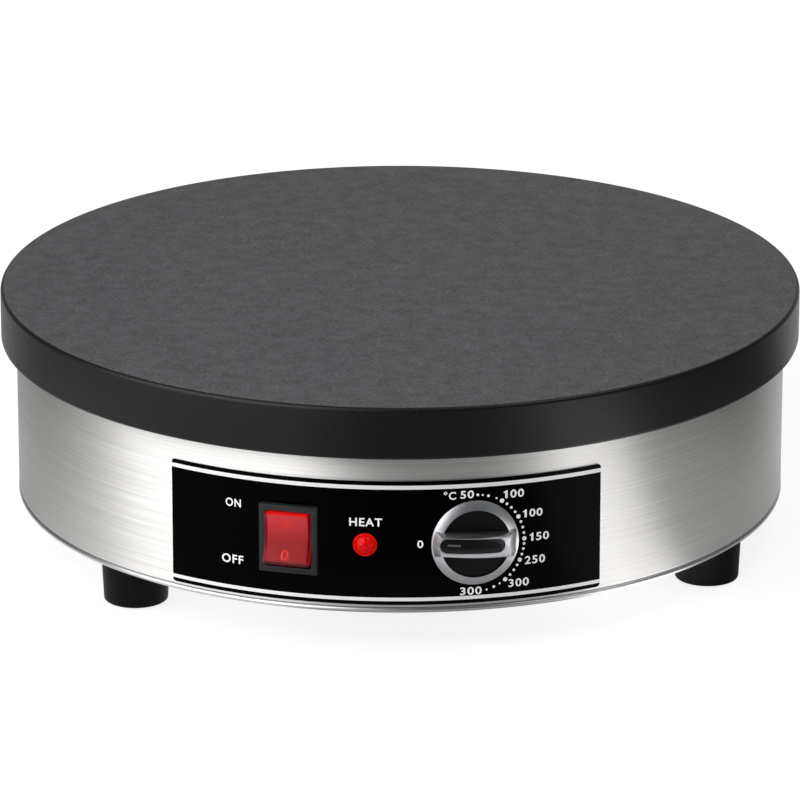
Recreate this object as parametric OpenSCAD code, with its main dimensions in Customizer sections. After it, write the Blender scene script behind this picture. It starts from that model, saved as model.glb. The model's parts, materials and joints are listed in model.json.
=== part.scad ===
// Electric crepe maker: a round cast-iron plate on a steel drum, with a heating spiral below the plate,
// a control panel at the front (-Y) and a cord gland at the back (+Y). Millimetres, +Z up.
// The origin is on the counter, under the middle of the plate.

/* [Cooking plate] */
// Diameter of the cooking plate
plate_d = 400; // [380:1:440]
// Thickness of the plate's cooking disc
plate_t = 13; // [11:0.5:20]
// Height of the plate's edge, from the cooking face to the foot of its skirt
plate_edge_h = 26; // [20:0.5:34]
// Overhang of the plate beyond the drum
plate_overhang = 7.6; // [6:0.1:12]
// Radial gap between the skirt and the drum
skirt_gap = 1.5; // [0.5:0.1:3]
// Radius of the rounded upper edge
plate_top_fillet = 2.2; // [0.5:0.1:3]
// Radius of the rounded lower edge
plate_low_fillet = 1.6; // [0.5:0.1:2.5]
// Thickness of the fibre gasket between the plate and the heat shield's rim
gasket_t = 2; // [1:0.1:4]

/* [Drum and base] */
// Height of the drum, flanges included
drum_h = 87.6; // [80:0.2:110]
// Sheet thickness of the drum
drum_t = 0.9; // [0.6:0.1:1.5]
// Outer bend radius of the drum's flanges
drum_bend_r = 1.6; // [1.6:0.1:3]
// Width of the drum's lower flange
low_flange_w = 11; // [10:0.5:13]
// Width of the drum's upper flange
top_flange_w = 16; // [12:0.5:16.5]
// Sheet thickness of the base pan
pan_t = 1.2; // [0.8:0.1:1.6]
// Height of the base pan's folded rim
pan_rim_h = 2.6; // [2.2:0.1:4]
// Step of the pan's rim beyond the drum
pan_step = 0.2; // [0:0.1:0.6]
// Number of vent slots in the base pan
vent_count = 16; // [8:1:20]
// Length of a vent slot
vent_len = 30; // [16:1:40]
// Width of a vent slot
vent_w = 5; // [3:0.5:8]
// Radius of the ring on which the vent slots lie
vent_ring_r = 78; // [60:1:90]

/* [Feet] */
// Height of a rubber foot
foot_h = 20; // [16:0.5:32]
// Diameter of a foot where it meets the pan
foot_top_d = 33.2; // [30:0.2:34]
// Diameter of a foot at the counter
foot_low_d = 31.5; // [28:0.2:33]
// Distance of a foot's middle from the drum's face
foot_inset = 17.4; // [17.4:0.2:24]
// Half the angle between the two front feet
foot_half_angle = 53.8; // [48:0.2:60]
// Turn of the feet against the control panel
foot_turn = 8.55; // [0:0.05:12]
// Diameter of a foot bolt
foot_bolt_d = 6; // [5:1:8]
// Depth of the recess for the bolt's head
foot_recess_depth = 9; // [7:0.5:11]

/* [Heating element] */
// Diameter of the element's tube
tube_d = 8; // [6.5:0.1:8.5]
// Radius of the innermost turn
inner_turn_r = 45; // [42:0.5:48]
// Gap between the outermost end of the element and the heat shield
element_gap = 5.4; // [5.4:0.2:9]
// Number of half turns
half_turns = 8; // [6:2:8]
// Turn of the element, its clamps and the bulb pocket about the plate's axis
element_turn = 180; // [170:1:190]
// Bend radius where the tube turns down to its terminals
stem_bend_r = 12; // [10:0.5:14]
// Length of the tube below the heat shield
stem_below = 8; // [7:0.5:12]
// Diameter of a ceramic bush
bush_d = 13.6; // [12:0.2:14]
// Length of a terminal pin
pin_len = 12; // [8:0.5:16]
// Diameter of a terminal pin
pin_d = 4; // [3:0.5:5]

/* [Clamps and insulation] */
// Width of a clamp bar
bar_w = 18; // [14:0.5:22]
// Thickness of a clamp bar
bar_t = 3; // [2:0.5:5]
// Diameter of a clamp stud
stud_d = 6; // [5:0.5:8]
// Diameter of a boss under the plate
boss_d = 14; // [12:0.5:16]
// Depth to which studs and tie rod go into the plate
stud_seat = 8; // [6:0.5:9]
// Depth of the heat shield
shield_depth = 30; // [28:0.5:36]
// Sheet thickness of the heat shield
shield_t = 0.8; // [0.5:0.1:1.2]
// Gap between the heat shield's dish and the drum's upper flange
shield_side_gap = 2; // [1:0.25:3]
// Diameter of the central tie rod
tie_rod_d = 8; // [6:0.5:10]

/* [Control panel] */
// Width of the panel, measured round the drum
panel_w = 217; // [200:1:240]
// Height of the panel
panel_h = 62.4; // [58:0.2:66]
// Height of the panel's lower edge above the drum's lower edge
panel_rise = 1.9; // [1.8:0.1:6]
// Thickness of the panel
panel_t = 0.6; // [0.4:0.1:1]
// Corner radius of the panel
panel_corner_r = 1.6; // [0.8:0.1:4]

/* [Rocker switch] */
// Angle of the switch from the drum's front
switch_angle = -13.45; // [-18:0.05:-12]
// Height of the switch above the counter
switch_z = 56.2; // [54:0.1:58]
// Width of the bezel
bezel_w = 28.8; // [28.2:0.1:32]
// Height of the bezel
bezel_h = 34; // [33.9:0.1:37]
// Thickness of the bezel
bezel_t = 3.6; // [2.5:0.1:4]
// Chamfer of the bezel
bezel_chamfer = 0.6; // [0.2:0.1:1]
// Wall of the switch housing
housing_wall = 1.1; // [1:0.1:1.2]
// Depth of the housing behind the bezel
housing_depth = 24; // [22:0.5:30]
// Width of the rocker
rocker_w = 22.1; // [18:0.1:22.4]
// Half the height of the rocker at its tips
rocker_half_h = 11.9; // [11:0.1:12]
// Height of the rocker's tips above the bezel, in mid position
rocker_proud = 4.8; // [3.4:0.1:5]
// Hollow of the rocker's face
rocker_hollow = 3.2; // [1:0.1:3.6]
// Draft of the rocker's two ends, in degrees
rocker_end_angle = 19; // [16:0.5:20]
// Tilt of the rocker each way, in degrees
rocker_tilt_angle = 8; // [6:0.5:9]
// Depth of the rocker's pivot below the bezel's face
pivot_depth = 6; // [5:0.1:6.4]
// Diameter of the rocker's pivot pins
pivot_d = 3; // [2:0.5:4]
// Thickness of the clear rocker cap
cap_t = 1; // [0.6:0.1:1.2]

/* [Heat lamp] */
// Angle of the lamp from the drum's front
lamp_angle = -2.58; // [-4:0.05:-2]
// Height of the lamp above the counter
lamp_z = 55.1; // [50:0.1:60]
// Diameter of the lens's rim
lens_d = 11.6; // [11:0.1:14]
// Diameter of the lamp's barrel
barrel_d = 9.8; // [8:0.1:10]
// Length of the barrel behind the panel
barrel_len = 26; // [18:0.5:30]

/* [Thermostat and knob] */
// Angle of the knob from the drum's front
knob_angle = 12.95; // [12:0.05:14]
// Height of the knob's axis above the counter
knob_z = 55.6; // [54:0.1:57]
// Diameter of the knob
knob_d = 42.4; // [40:0.2:46]
// Gap between the knob and the panel
knob_gap = 0.5; // [0.4:0.1:2]
// Thickness of the knob's base disc
knob_base_t = 0.4; // [0.3:0.1:1]
// Thickness of the trim ring at its outer edge
ring_edge_t = 0.8; // [0.4:0.1:1.5]
// Rise of the trim ring from its outer to its inner edge
ring_rise = 2.2; // [1:0.1:3]
// Radial width of the trim ring
ring_w = 4.3; // [3:0.1:5]
// Depth of the knob's hollow below the ring's inner edge
knob_hollow = 1.4; // [0.6:0.1:1.8]
// Height of the wing's middle above the ring's outer edge
wing_h = 8.3; // [6.5:0.1:12]
// Fall of the wing's arched top towards its ends
wing_arch = 2.2; // [1:0.1:3]
// Width of the wing's foot between the ring's edges
wing_foot_w = 13.9; // [12:0.1:15]
// Width of the wing's foot across the knob's middle
wing_waist_w = 11.2; // [10.6:0.1:11.8]
// Width of the wing's top
wing_top_w = 10.1; // [9:0.1:10.4]
// Splay of each of the wing's flanks, in degrees
wing_splay_angle = 1.2; // [0:0.1:2]
// Reach of the wing's top towards the pointer end
wing_reach = 18; // [17:0.1:19]
// Reach of the wing's top towards the other end
wing_tail = 15.5; // [14:0.1:17]
// Width of the dark inlay in the wing
inlay_w = 7; // [5:0.1:7.2]
// Length of the dark inlay in the wing
inlay_len = 31.4; // [26:0.2:31.6]
// Thickness of the inlay
inlay_t = 0.8; // [0.5:0.1:1.2]
// Depth of the inlay's face below the wing's top
inlay_sink = 0.5; // [0.1:0.1:0.8]
// Turn of the wing at rest from the horizontal, in degrees
knob_rest_turn = 2.5; // [0:0.5:5]
// Diameter of the knob's hub
hub_d = 12; // [10:0.5:13]
// Length of the hub behind the knob
hub_len = 10.8; // [9:0.2:12]
// Diameter of the thermostat's shaft
shaft_d = 6; // [5:0.5:6.5]
// Depth of the flat on the shaft
shaft_flat = 1.4; // [1:0.1:1.8]
// Distance from the drum's face to the thermostat's face
thermostat_depth = 13.2; // [12.8:0.1:16]
// Width, depth and height of the thermostat's body
thermostat_w = 44; // [40:1:46]
thermostat_l = 30; // [26:1:34]
thermostat_h = 38; // [34:1:40]
// Diameter of the sensing bulb
bulb_d = 6; // [4:0.5:6.5]
// Length of the sensing bulb that stands out of its pocket at each end, on average
bulb_out = 7; // [4:0.5:8]
// Diameter of the capillary
capillary_d = 2; // [1.5:0.1:2.5]

/* [Cord gland and wiring] */
// Height of the gland above the counter
gland_z = 45; // [42:0.5:55]
// Diameter of the cord that the gland's seal takes
cord_d = 9.2; // [7:0.1:9.4]
// Diameter of the gland's barrel
gland_barrel_d = 18; // [17:0.5:20]
// Diameter of the gland's outer collar
gland_collar_d = 25; // [23:0.5:27]
// Height of the gland's outer collar
gland_collar_h = 9.6; // [6:0.2:12]
// Length of the seal
seal_len = 10; // [8:0.5:11]
// Number of ways of the terminal block
block_ways = 4; // [4:1:4]
// Distance between two ways
way_pitch = 12; // [10:0.5:13]
// Diameter of an internal lead
lead_d = 2.8; // [2:0.1:3.2]

/* [Hidden] */
$fn = 96;

// Clearances
fit_gap = 0.1;      // round a stud or a pin in its seat
running_gap = 0.05; // round a shaft that turns
seat_gap = 0.2;     // between curved faces that rest on each other
slide_gap = 0.3;    // each side of a moving part
thread_end = 1;     // thread that stands out of a nut
eps = 0.5;          // overshoot of a cutter

// Levels, from the counter upwards
pan_z = foot_h;
drum_z = pan_z + pan_rim_h;
drum_top = drum_z + drum_h;
plate_under = drum_top + shield_t + gasket_t;
plate_top = plate_under + plate_t;
skirt_z = plate_top - plate_edge_h;
tube_z = plate_under - seat_gap - tube_d / 2;
bar_top = tube_z - tube_d / 2 - seat_gap;
clamp_nut_h = 5;
clamp_nut_z = bar_top - bar_t - clamp_nut_h;
stud_end = clamp_nut_z - thread_end;
shield_top = drum_top + shield_t;
shield_z = shield_top - shield_depth;
stem_end = shield_z - stem_below;
blanket_z = shield_z + shield_t;
blanket_gap = 0.3;

// Radii from the plate's axis
plate_r = plate_d / 2;
drum_r = plate_r - plate_overhang;
skirt_in_r = drum_r + skirt_gap;
shield_r = drum_r - top_flange_w - shield_side_gap;
pan_r = drum_r + pan_step;
pan_rim_in_r = drum_r - low_flange_w;
foot_ring_r = drum_r - foot_inset;
panel_in_r = drum_r + running_gap;
panel_r = panel_in_r + panel_t;
blanket_r = shield_r - shield_t - slide_gap;
outer_end_r = shield_r - element_gap - tube_d / 2;
turn_pitch = (outer_end_r - inner_turn_r) * 2 / half_turns;
tie_hole_r = tie_rod_d / 2 + slide_gap;

// How far a cylinder of radius r falls back at a distance x from its foremost line
function sag(r, x) = r - sqrt(r * r - x * x);

// A point given on the drum's wall: x along the wall, depth inwards from its face, height z
function wall_point(angle, x, depth, z) = [
    x * cos(angle) + (drum_r - depth) * sin(angle),
    x * sin(angle) - (drum_r - depth) * cos(angle),
    z
];

// Places children at the drum's face: x along the wall, y inwards, z up
module on_wall(angle, z) {
    rotate([0, 0, angle]) translate([0, -drum_r, z]) children();
}

// A cylinder along the depth, from the depth "from" inwards to the depth "to"
module deep_cylinder(d, from, to) {
    translate([0, to, 0]) rotate([90, 0, 0]) cylinder(d = d, h = to - from);
}

// A hexagonal nut lying on z = 0
module hex_nut(across_flats, h, bore_d) {
    difference() {
        cylinder(d = across_flats / cos(30), h = h, $fn = 6);
        translate([0, 0, -eps]) cylinder(d = bore_d, h = h + 2 * eps);
    }
}

// A prism across the wall: its outline is drawn as [depth, height] and it is w wide
module across(w) {
    rotate([90, 0, 90]) translate([0, 0, -w / 2]) linear_extrude(w) children();
}

// A slot with round ends along x
module slot_2d(length, width) {
    square([length - width, width], center = true);
    for (side = [-1, 1]) translate([side * (length - width) / 2, 0]) circle(d = width);
}

// A rectangle with round corners, centred
module rounded_2d(w, h, r) {
    square([w - 2 * r, h], center = true);
    square([w, h - 2 * r], center = true);
    for (x = [-1, 1], y = [-1, 1]) translate([x * (w / 2 - r), y * (h / 2 - r)]) circle(r);
}

// ---------------------------------------------------------------- plate

// The clamp studs, in the element's frame. The upper half turns are centred on the axis, the lower
// ones half a pitch beside it, and each stud stands midway between two turns.
lower_centre = [turn_pitch / 2, 0, 0];
upper_stud_r = inner_turn_r + 1.5 * turn_pitch;
lower_stud_r = upper_stud_r + turn_pitch / 2;
clamp_angles = [45, 135, 225, 315];
function is_upper(angle) = angle < 180;
function clamp_centre(angle) = is_upper(angle) ? [0, 0, 0] : lower_centre;
function stud_r(angle) = is_upper(angle) ? upper_stud_r : lower_stud_r;
function polar(r, angle) = [r * cos(angle), r * sin(angle), 0];
function stud_place(angle) = clamp_centre(angle) + polar(stud_r(angle), angle);

// The bulb's pocket under the plate, midway between two turns in the element's frame
pocket_side = 1.9;
pocket_w = bulb_d + 2 * fit_gap + 2 * pocket_side;
pocket_len = 2 * turn_pitch;
pocket_wall = 2;
pocket_gap = 1.3;
pocket_y = inner_turn_r + turn_pitch + tube_d / 2 + pocket_gap + pocket_w / 2;
bulb_len = pocket_len + 2 * bulb_out;
bulb_shift = turn_pitch / 6;
bulb_z = plate_under - pocket_wall - fit_gap - bulb_d / 2;
pocket_z = bulb_z - bulb_d / 2 - fit_gap - pocket_wall;

module in_element_frame() {
    rotate([0, 0, element_turn]) children();
}

module at_studs() {
    in_element_frame() for (a = clamp_angles) translate(stud_place(a)) children();
}

module plate_profile() {
    difference() {
        union() {
            translate([0, plate_under]) square([plate_r - plate_top_fillet, plate_t]);
            translate([skirt_in_r, skirt_z + plate_low_fillet])
                square([plate_r - skirt_in_r, plate_edge_h - plate_low_fillet - plate_top_fillet]);
            translate([skirt_in_r, skirt_z])
                square([plate_r - plate_low_fillet - skirt_in_r, plate_low_fillet + eps]);
            translate([plate_r - plate_low_fillet, skirt_z + plate_low_fillet]) circle(plate_low_fillet);
            translate([plate_r - plate_top_fillet, plate_top - plate_top_fillet]) circle(plate_top_fillet);
        }
        translate([-plate_r, skirt_z - eps]) square([plate_r, plate_edge_h + 2 * eps]);
    }
}

module cooking_plate() {
    color("#3a3b3c") difference() {
        union() {
            rotate_extrude() plate_profile();
            at_studs() translate([0, 0, bar_top]) cylinder(d = boss_d, h = plate_under - bar_top + eps);
            translate([0, 0, bar_top]) cylinder(d = tie_rod_d * 2.5, h = plate_under - bar_top + eps);
            in_element_frame() translate([-pocket_len / 2, pocket_y - pocket_w / 2, pocket_z])
                cube([pocket_len, pocket_w, plate_under - pocket_z + eps]);
        }
        at_studs() translate([0, 0, bar_top - eps])
            cylinder(d = stud_d + 2 * fit_gap, h = plate_under + stud_seat - bar_top + eps);
        translate([0, 0, bar_top - eps])
            cylinder(d = tie_rod_d + 2 * fit_gap, h = plate_under + stud_seat - bar_top + eps);
        in_element_frame() translate([-pocket_len / 2 - eps, pocket_y, bulb_z])
            rotate([0, 90, 0]) cylinder(d = bulb_d + 2 * fit_gap, h = pocket_len + 2 * eps);
    }
}

module rim_gasket() {
    color("#d8d4c8") translate([0, 0, shield_top]) difference() {
        cylinder(r = drum_r - 2, h = gasket_t);
        translate([0, 0, -eps]) cylinder(r = shield_r, h = gasket_t + 2 * eps);
    }
}

// ---------------------------------------------------------------- element

// Ends of the spiral in the element's frame, and the side to which each one bends down
inner_end = [inner_turn_r, -1];
outer_end = [outer_end_r, 1];
stem_ends = [inner_end, outer_end];

module at_stems() {
    in_element_frame() for (e = stem_ends) translate([e[0], e[1] * stem_bend_r, 0]) children();
}

module tube_arc(r, angle) {
    rotate_extrude(angle = angle) translate([r, 0]) circle(d = tube_d, $fn = 48);
}

module heating_element() {
    color("#6f6a64") in_element_frame() {
        for (k = [0 : half_turns - 1])
            translate(k % 2 == 0 ? [0, 0, tube_z] : lower_centre + [0, 0, tube_z])
                rotate([0, 0, k % 2 == 0 ? 0 : 180])
                    tube_arc(inner_turn_r + k * turn_pitch / 2, 180);
        for (e = stem_ends) {
            translate([e[0], 0, tube_z - stem_bend_r]) rotate([90, 0, e[1] * 90])
                tube_arc(stem_bend_r, 90);
            translate([e[0], e[1] * stem_bend_r, stem_end])
                cylinder(d = tube_d, h = tube_z - stem_bend_r - stem_end, $fn = 48);
        }
    }
}

bush_flange_t = 2;
bush_flange_w = 2;
bush_above = 3;

module element_bushes() {
    color("#e8e4da") at_stems() difference() {
        union() {
            translate([0, 0, shield_z - bush_flange_t])
                cylinder(d = bush_d + 2 * bush_flange_w, h = bush_flange_t);
            translate([0, 0, shield_z - bush_flange_t])
                cylinder(d = bush_d, h = bush_flange_t + shield_t + bush_above);
        }
        translate([0, 0, stem_end]) cylinder(d = tube_d + 2 * seat_gap, h = shield_depth);
    }
}

module element_pins() {
    color("#b8b4aa") at_stems() translate([0, 0, stem_end - pin_len]) cylinder(d = pin_d, h = pin_len);
}

// ---------------------------------------------------------------- clamps and insulation

bar_margin = 6;

module clamp_bars() {
    color("#8d8f90") in_element_frame() for (a = clamp_angles) {
        first = is_upper(a) ? inner_turn_r : inner_turn_r + turn_pitch / 2;
        last = first + (half_turns / 2 - 1) * turn_pitch;
        translate(clamp_centre(a) + [0, 0, bar_top - bar_t]) rotate([0, 0, a]) difference() {
            translate([first - bar_margin, -bar_w / 2, 0])
                cube([last - first + 2 * bar_margin, bar_w, bar_t]);
            translate([stud_r(a), 0, -eps]) cylinder(d = stud_d + 2 * fit_gap, h = bar_t + 2 * eps);
        }
    }
}

module clamp_studs() {
    color("#a9abad") at_studs() translate([0, 0, stud_end])
        cylinder(d = stud_d, h = plate_under + stud_seat - stud_end);
}

module clamp_nuts() {
    color("#b4b6b8") at_studs() translate([0, 0, clamp_nut_z])
        hex_nut(stud_d + 4, clamp_nut_h, stud_d + 2 * fit_gap);
}

// Where the capillary goes down through the insulation
bulb_end = turned([-bulb_len / 2 + bulb_shift, pocket_y], element_turn);
drop_step = [8, 1.3];
capillary_drop = bulb_end + drop_step;
capillary_hole_d = capillary_d + 4;

module insulation_blanket() {
    color("#ece7d6") difference() {
        translate([0, 0, blanket_z]) cylinder(r = blanket_r, h = stud_end - blanket_gap - blanket_z);
        translate([0, 0, blanket_z - eps]) cylinder(r = tie_hole_r, h = shield_depth);
        at_stems() translate([0, 0, blanket_z - eps]) cylinder(d = bush_d + 2 * slide_gap, h = shield_depth);
        translate([capillary_drop[0], capillary_drop[1], blanket_z - eps])
            cylinder(d = capillary_hole_d, h = shield_depth);
    }
}

module heat_shield() {
    color("#9b9ea1") difference() {
        union() {
            translate([0, 0, shield_z]) cylinder(r = shield_r, h = shield_depth);
            translate([0, 0, drum_top]) cylinder(r = drum_r - 2, h = shield_t);
        }
        translate([0, 0, blanket_z]) cylinder(r = shield_r - shield_t, h = shield_depth);
        translate([0, 0, shield_z - eps]) cylinder(r = tie_hole_r, h = shield_depth);
        at_stems() translate([0, 0, shield_z - eps])
            cylinder(d = bush_d + 2 * fit_gap, h = shield_t + 2 * eps);
        translate([capillary_drop[0], capillary_drop[1], shield_z - eps])
            cylinder(d = capillary_hole_d, h = shield_t + 2 * eps);
    }
}

tie_washer_t = 1.6;
tie_nut_h = 6.5;
tie_rod_low = pan_z - tie_washer_t - tie_nut_h - thread_end;

module tie_rod() {
    color("#a9abad") translate([0, 0, tie_rod_low])
        cylinder(d = tie_rod_d, h = plate_under + stud_seat - tie_rod_low);
}

module tie_rod_washer() {
    color("#b4b6b8") translate([0, 0, pan_z - tie_washer_t]) difference() {
        cylinder(d = tie_rod_d * 3, h = tie_washer_t);
        translate([0, 0, -eps]) cylinder(d = tie_rod_d + 2 * fit_gap, h = tie_washer_t + 2 * eps);
    }
}

module tie_rod_nut() {
    color("#b4b6b8") translate([0, 0, pan_z - tie_washer_t - tie_nut_h])
        hex_nut(tie_rod_d + 5, tie_nut_h, tie_rod_d + 2 * fit_gap);
}

// ---------------------------------------------------------------- drum and base

// Section of the drum: a wall with an inward flange at each end and rounded outer bends
module drum_profile() {
    inner_bend_r = drum_bend_r - drum_t;
    difference() {
        translate([drum_r, drum_z]) bent_2d(drum_h, drum_bend_r, top_flange_w, low_flange_w);
        translate([drum_r - drum_t, drum_z + drum_t])
            bent_2d(drum_h - 2 * drum_t, inner_bend_r, top_flange_w + eps, top_flange_w + eps);
    }
}

// A block left of x = 0 with round corners at the right
module bent_2d(h, r, top_w, low_w) {
    translate([-r, r]) circle(r);
    translate([-r, h - r]) circle(r);
    translate([-low_w, 0]) square([low_w - r, h / 2]);
    translate([-top_w, h / 2]) square([top_w - r, h / 2]);
    translate([-r, r]) square([r, h - 2 * r]);
}

base_screw_d = 4;
base_screw_r = (pan_rim_in_r + drum_r) / 2;
base_screw_angles = [0, 35, -80, 95, 180, -150];
base_head_d = 7.4;
base_head_h = 1.7;
base_screw_len = 8;

module at_base_screws() {
    for (a = base_screw_angles) rotate([0, 0, a]) translate([0, -base_screw_r, 0]) children();
}

// Cut-outs that the drum and the control panel share
module control_cutouts() {
    on_wall(switch_angle, switch_z) translate([-cutout_w / 2, -bezel_t, -housing_half_h - cutout_gap])
        cube([cutout_w, bezel_t * 3, 2 * (housing_half_h + cutout_gap)]);
    on_wall(lamp_angle, lamp_z) deep_cylinder(barrel_d + 2 * seat_gap, -bezel_t, bezel_t);
    on_wall(knob_angle, knob_z) deep_cylinder(hub_d + 2 * hub_gap, -bezel_t, bezel_t);
}

module drum_shell() {
    color("#c9cacb") difference() {
        rotate_extrude($fn = 180) drum_profile();
        control_cutouts();
        on_wall(180, gland_z) deep_cylinder(gland_barrel_d + 2 * seat_gap, -bezel_t, bezel_t);
        at_base_screws() translate([0, 0, drum_z - eps])
            cylinder(d = base_screw_d + 2 * fit_gap, h = drum_t + 2 * eps);
    }
}

module at_feet() {
    for (a = foot_angles) rotate([0, 0, a]) translate([0, -foot_ring_r, 0]) children();
}

foot_front_left_angle = foot_turn - foot_half_angle;
foot_front_right_angle = foot_turn + foot_half_angle;
foot_angles = [
    foot_front_left_angle, foot_front_right_angle,
    foot_front_right_angle + 180, foot_front_left_angle + 180
];

module base_pan() {
    color("#b9bbbc") difference() {
        union() {
            translate([0, 0, pan_z]) rotate_extrude($fn = 180) {
                square([pan_r - pan_rim_h / 2, pan_t]);
                translate([pan_rim_in_r, 0]) square([pan_r - pan_rim_h / 2 - pan_rim_in_r, pan_rim_h]);
                intersection() {
                    translate([pan_r - pan_rim_h / 2, pan_rim_h / 2]) circle(d = pan_rim_h);
                    translate([pan_r - pan_rim_h / 2, 0]) square([pan_rim_h, pan_rim_h]);
                }
            }
        }
        at_base_screws() translate([0, 0, pan_z - eps])
            cylinder(d = base_screw_d + 2 * fit_gap, h = pan_rim_h + 2 * eps);
        at_base_screws() countersink(fit_gap, eps);
        at_feet() translate([0, 0, pan_z - eps])
            cylinder(d = foot_bolt_d + 2 * fit_gap, h = pan_t + 2 * eps);
        translate([0, 0, pan_z - eps]) cylinder(r = tie_hole_r, h = pan_t + 2 * eps);
        for (k = [0 : vent_count - 1]) rotate([0, 0, (k + 0.5) * 360 / vent_count])
            translate([vent_ring_r, 0, pan_z - eps]) linear_extrude(pan_t + 2 * eps) slot_2d(vent_len, vent_w);
        for (x = block_screw_x) translate([x, block_y, pan_z - eps])
            cylinder(d = block_screw_d + 2 * fit_gap, h = pan_t + 2 * eps);
        translate([earth_x, earth_y, pan_z - eps]) cylinder(d = earth_d + 2 * fit_gap, h = pan_t + 2 * eps);
    }
}

// The cone of a flush screw head, "wider" all round and "deeper" below the pan
module countersink(wider, deeper) {
    slope = (base_head_d - base_screw_d) / 2 / base_head_h;
    translate([0, 0, pan_z - deeper]) cylinder(
        r1 = base_head_d / 2 + wider + deeper * slope,
        r2 = base_screw_d / 2 + wider,
        h = base_head_h + deeper
    );
}

module base_screws() {
    color("#b4b6b8") at_base_screws() difference() {
        union() {
            translate([0, 0, pan_z]) cylinder(d = base_screw_d, h = base_screw_len);
            countersink(0, 0);
        }
        for (turn = [0, 90]) rotate([0, 0, turn])
            translate([-base_head_d / 4, -0.5, pan_z - eps]) cube([base_head_d / 2, 1, eps + base_head_h / 2]);
    }
}

// ---------------------------------------------------------------- feet

foot_recess_d = 20;
foot_edge_r = 1.5;

module foot() {
    difference() {
        rotate_extrude() difference() {
            union() {
                polygon([
                    [0, 0], [foot_low_d / 2 - foot_edge_r, 0], [foot_low_d / 2, foot_edge_r],
                    [foot_top_d / 2, foot_h], [0, foot_h]
                ]);
                translate([foot_low_d / 2 - foot_edge_r, foot_edge_r]) circle(foot_edge_r);
            }
            translate([-foot_top_d, -eps]) square([foot_top_d, foot_h + 2 * eps]);
        }
        translate([0, 0, -eps]) cylinder(d = foot_recess_d, h = foot_recess_depth + eps);
        cylinder(d = foot_bolt_d + 2 * fit_gap, h = foot_h + eps);
    }
}

module foot_at(angle) {
    color("#1b1b1c") rotate([0, 0, angle]) translate([0, -foot_ring_r, 0]) foot();
}

module foot_front_left() foot_at(foot_angles[0]);
module foot_front_right() foot_at(foot_angles[1]);
module foot_rear_left() foot_at(foot_angles[2]);
module foot_rear_right() foot_at(foot_angles[3]);

foot_washer_t = 1.5;
foot_head_h = 3.6;
foot_nut_h = 5;
foot_nut_step = 4;
foot_nut_af = foot_bolt_d + foot_nut_step;

module foot_washers() {
    color("#b4b6b8") at_feet() translate([0, 0, foot_recess_depth - foot_washer_t]) difference() {
        cylinder(d = foot_recess_d - 1, h = foot_washer_t);
        translate([0, 0, -eps]) cylinder(d = foot_bolt_d + 2 * fit_gap, h = foot_washer_t + 2 * eps);
    }
}

module foot_bolts() {
    head_z = foot_recess_depth - foot_washer_t - foot_head_h;
    color("#a9abad") at_feet() {
        translate([0, 0, head_z]) cylinder(d = foot_nut_af / cos(30), h = foot_head_h, $fn = 6);
        translate([0, 0, head_z]) cylinder(d = foot_bolt_d, h = pan_z + pan_t + foot_nut_h + thread_end - head_z);
    }
}

module foot_nuts() {
    color("#b4b6b8") at_feet() translate([0, 0, pan_z + pan_t])
        hex_nut(foot_nut_af, foot_nut_h, foot_bolt_d + 2 * fit_gap);
}

// ---------------------------------------------------------------- control panel

panel_z = drum_z + panel_rise;
panel_half_angle = panel_w / 2 / drum_r * 180 / PI;
panel_chord = 2 * drum_r * sin(panel_half_angle);

module control_panel() {
    color("#0b0b0c") difference() {
        intersection() {
            translate([0, 0, panel_z]) cylinder(r = panel_r, h = panel_h, $fn = 180);
            translate([0, 0, panel_z + panel_h / 2]) rotate([90, 0, 0]) linear_extrude(plate_r)
                rounded_2d(panel_chord, panel_h, panel_corner_r);
        }
        translate([0, 0, panel_z - eps]) cylinder(r = panel_in_r, h = panel_h + 2 * eps, $fn = 180);
        control_cutouts();
    }
}

// ---------------------------------------------------------------- rocker switch

// Distances outwards from the rocker's pivot
tip_out = pivot_depth + rocker_proud;
skirt_out = pivot_depth * 0.65;
core_in = 3;
core_half_h = 9.5;

// The rocker's ends at its skirt
end_slope = tan(rocker_end_angle);
skirt_half_h = rocker_half_h + (tip_out - skirt_out) * end_slope;
// The pressed tip, and the height at which that end passes the bezel's face
pressed_out = tip_out * cos(rocker_tilt_angle) - rocker_half_h * sin(rocker_tilt_angle);
pressed_half_h = tip_out * sin(rocker_tilt_angle) + rocker_half_h * cos(rocker_tilt_angle);
face_half_h = pressed_half_h + (pressed_out - pivot_depth) * tan(rocker_end_angle - rocker_tilt_angle);
// The round cavity about the pivot in which both ends swing
swing_gap = 0.2;
cavity_r = norm([pivot_depth, face_half_h]) + swing_gap;
cavity_w = rocker_w + 2 * slide_gap;
housing_w = cavity_w + 2 * housing_wall;
housing_half_h = cavity_r + housing_wall;
cutout_gap = 0.2;
cutout_w = housing_w + 2 * cutout_gap;

// Depths from the drum's face
bezel_back = sag(panel_r, cutout_w / 2) - (panel_r - drum_r);
bezel_face = bezel_back - bezel_t;
pivot_y = bezel_face + pivot_depth;
housing_back = bezel_back + housing_depth;
back_wall = 1.5;
tab_len = 9;
tab_t = 0.8;
tab_w = 6.3;
tab_x = 6;
tab_dz = 7;

module chamfered_2d(w, from, to, c) {
    polygon([
        [-w / 2, to], [w / 2, to], [w / 2, from + c], [w / 2 - c, from], [-w / 2 + c, from], [-w / 2, from + c]
    ]);
}

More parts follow.
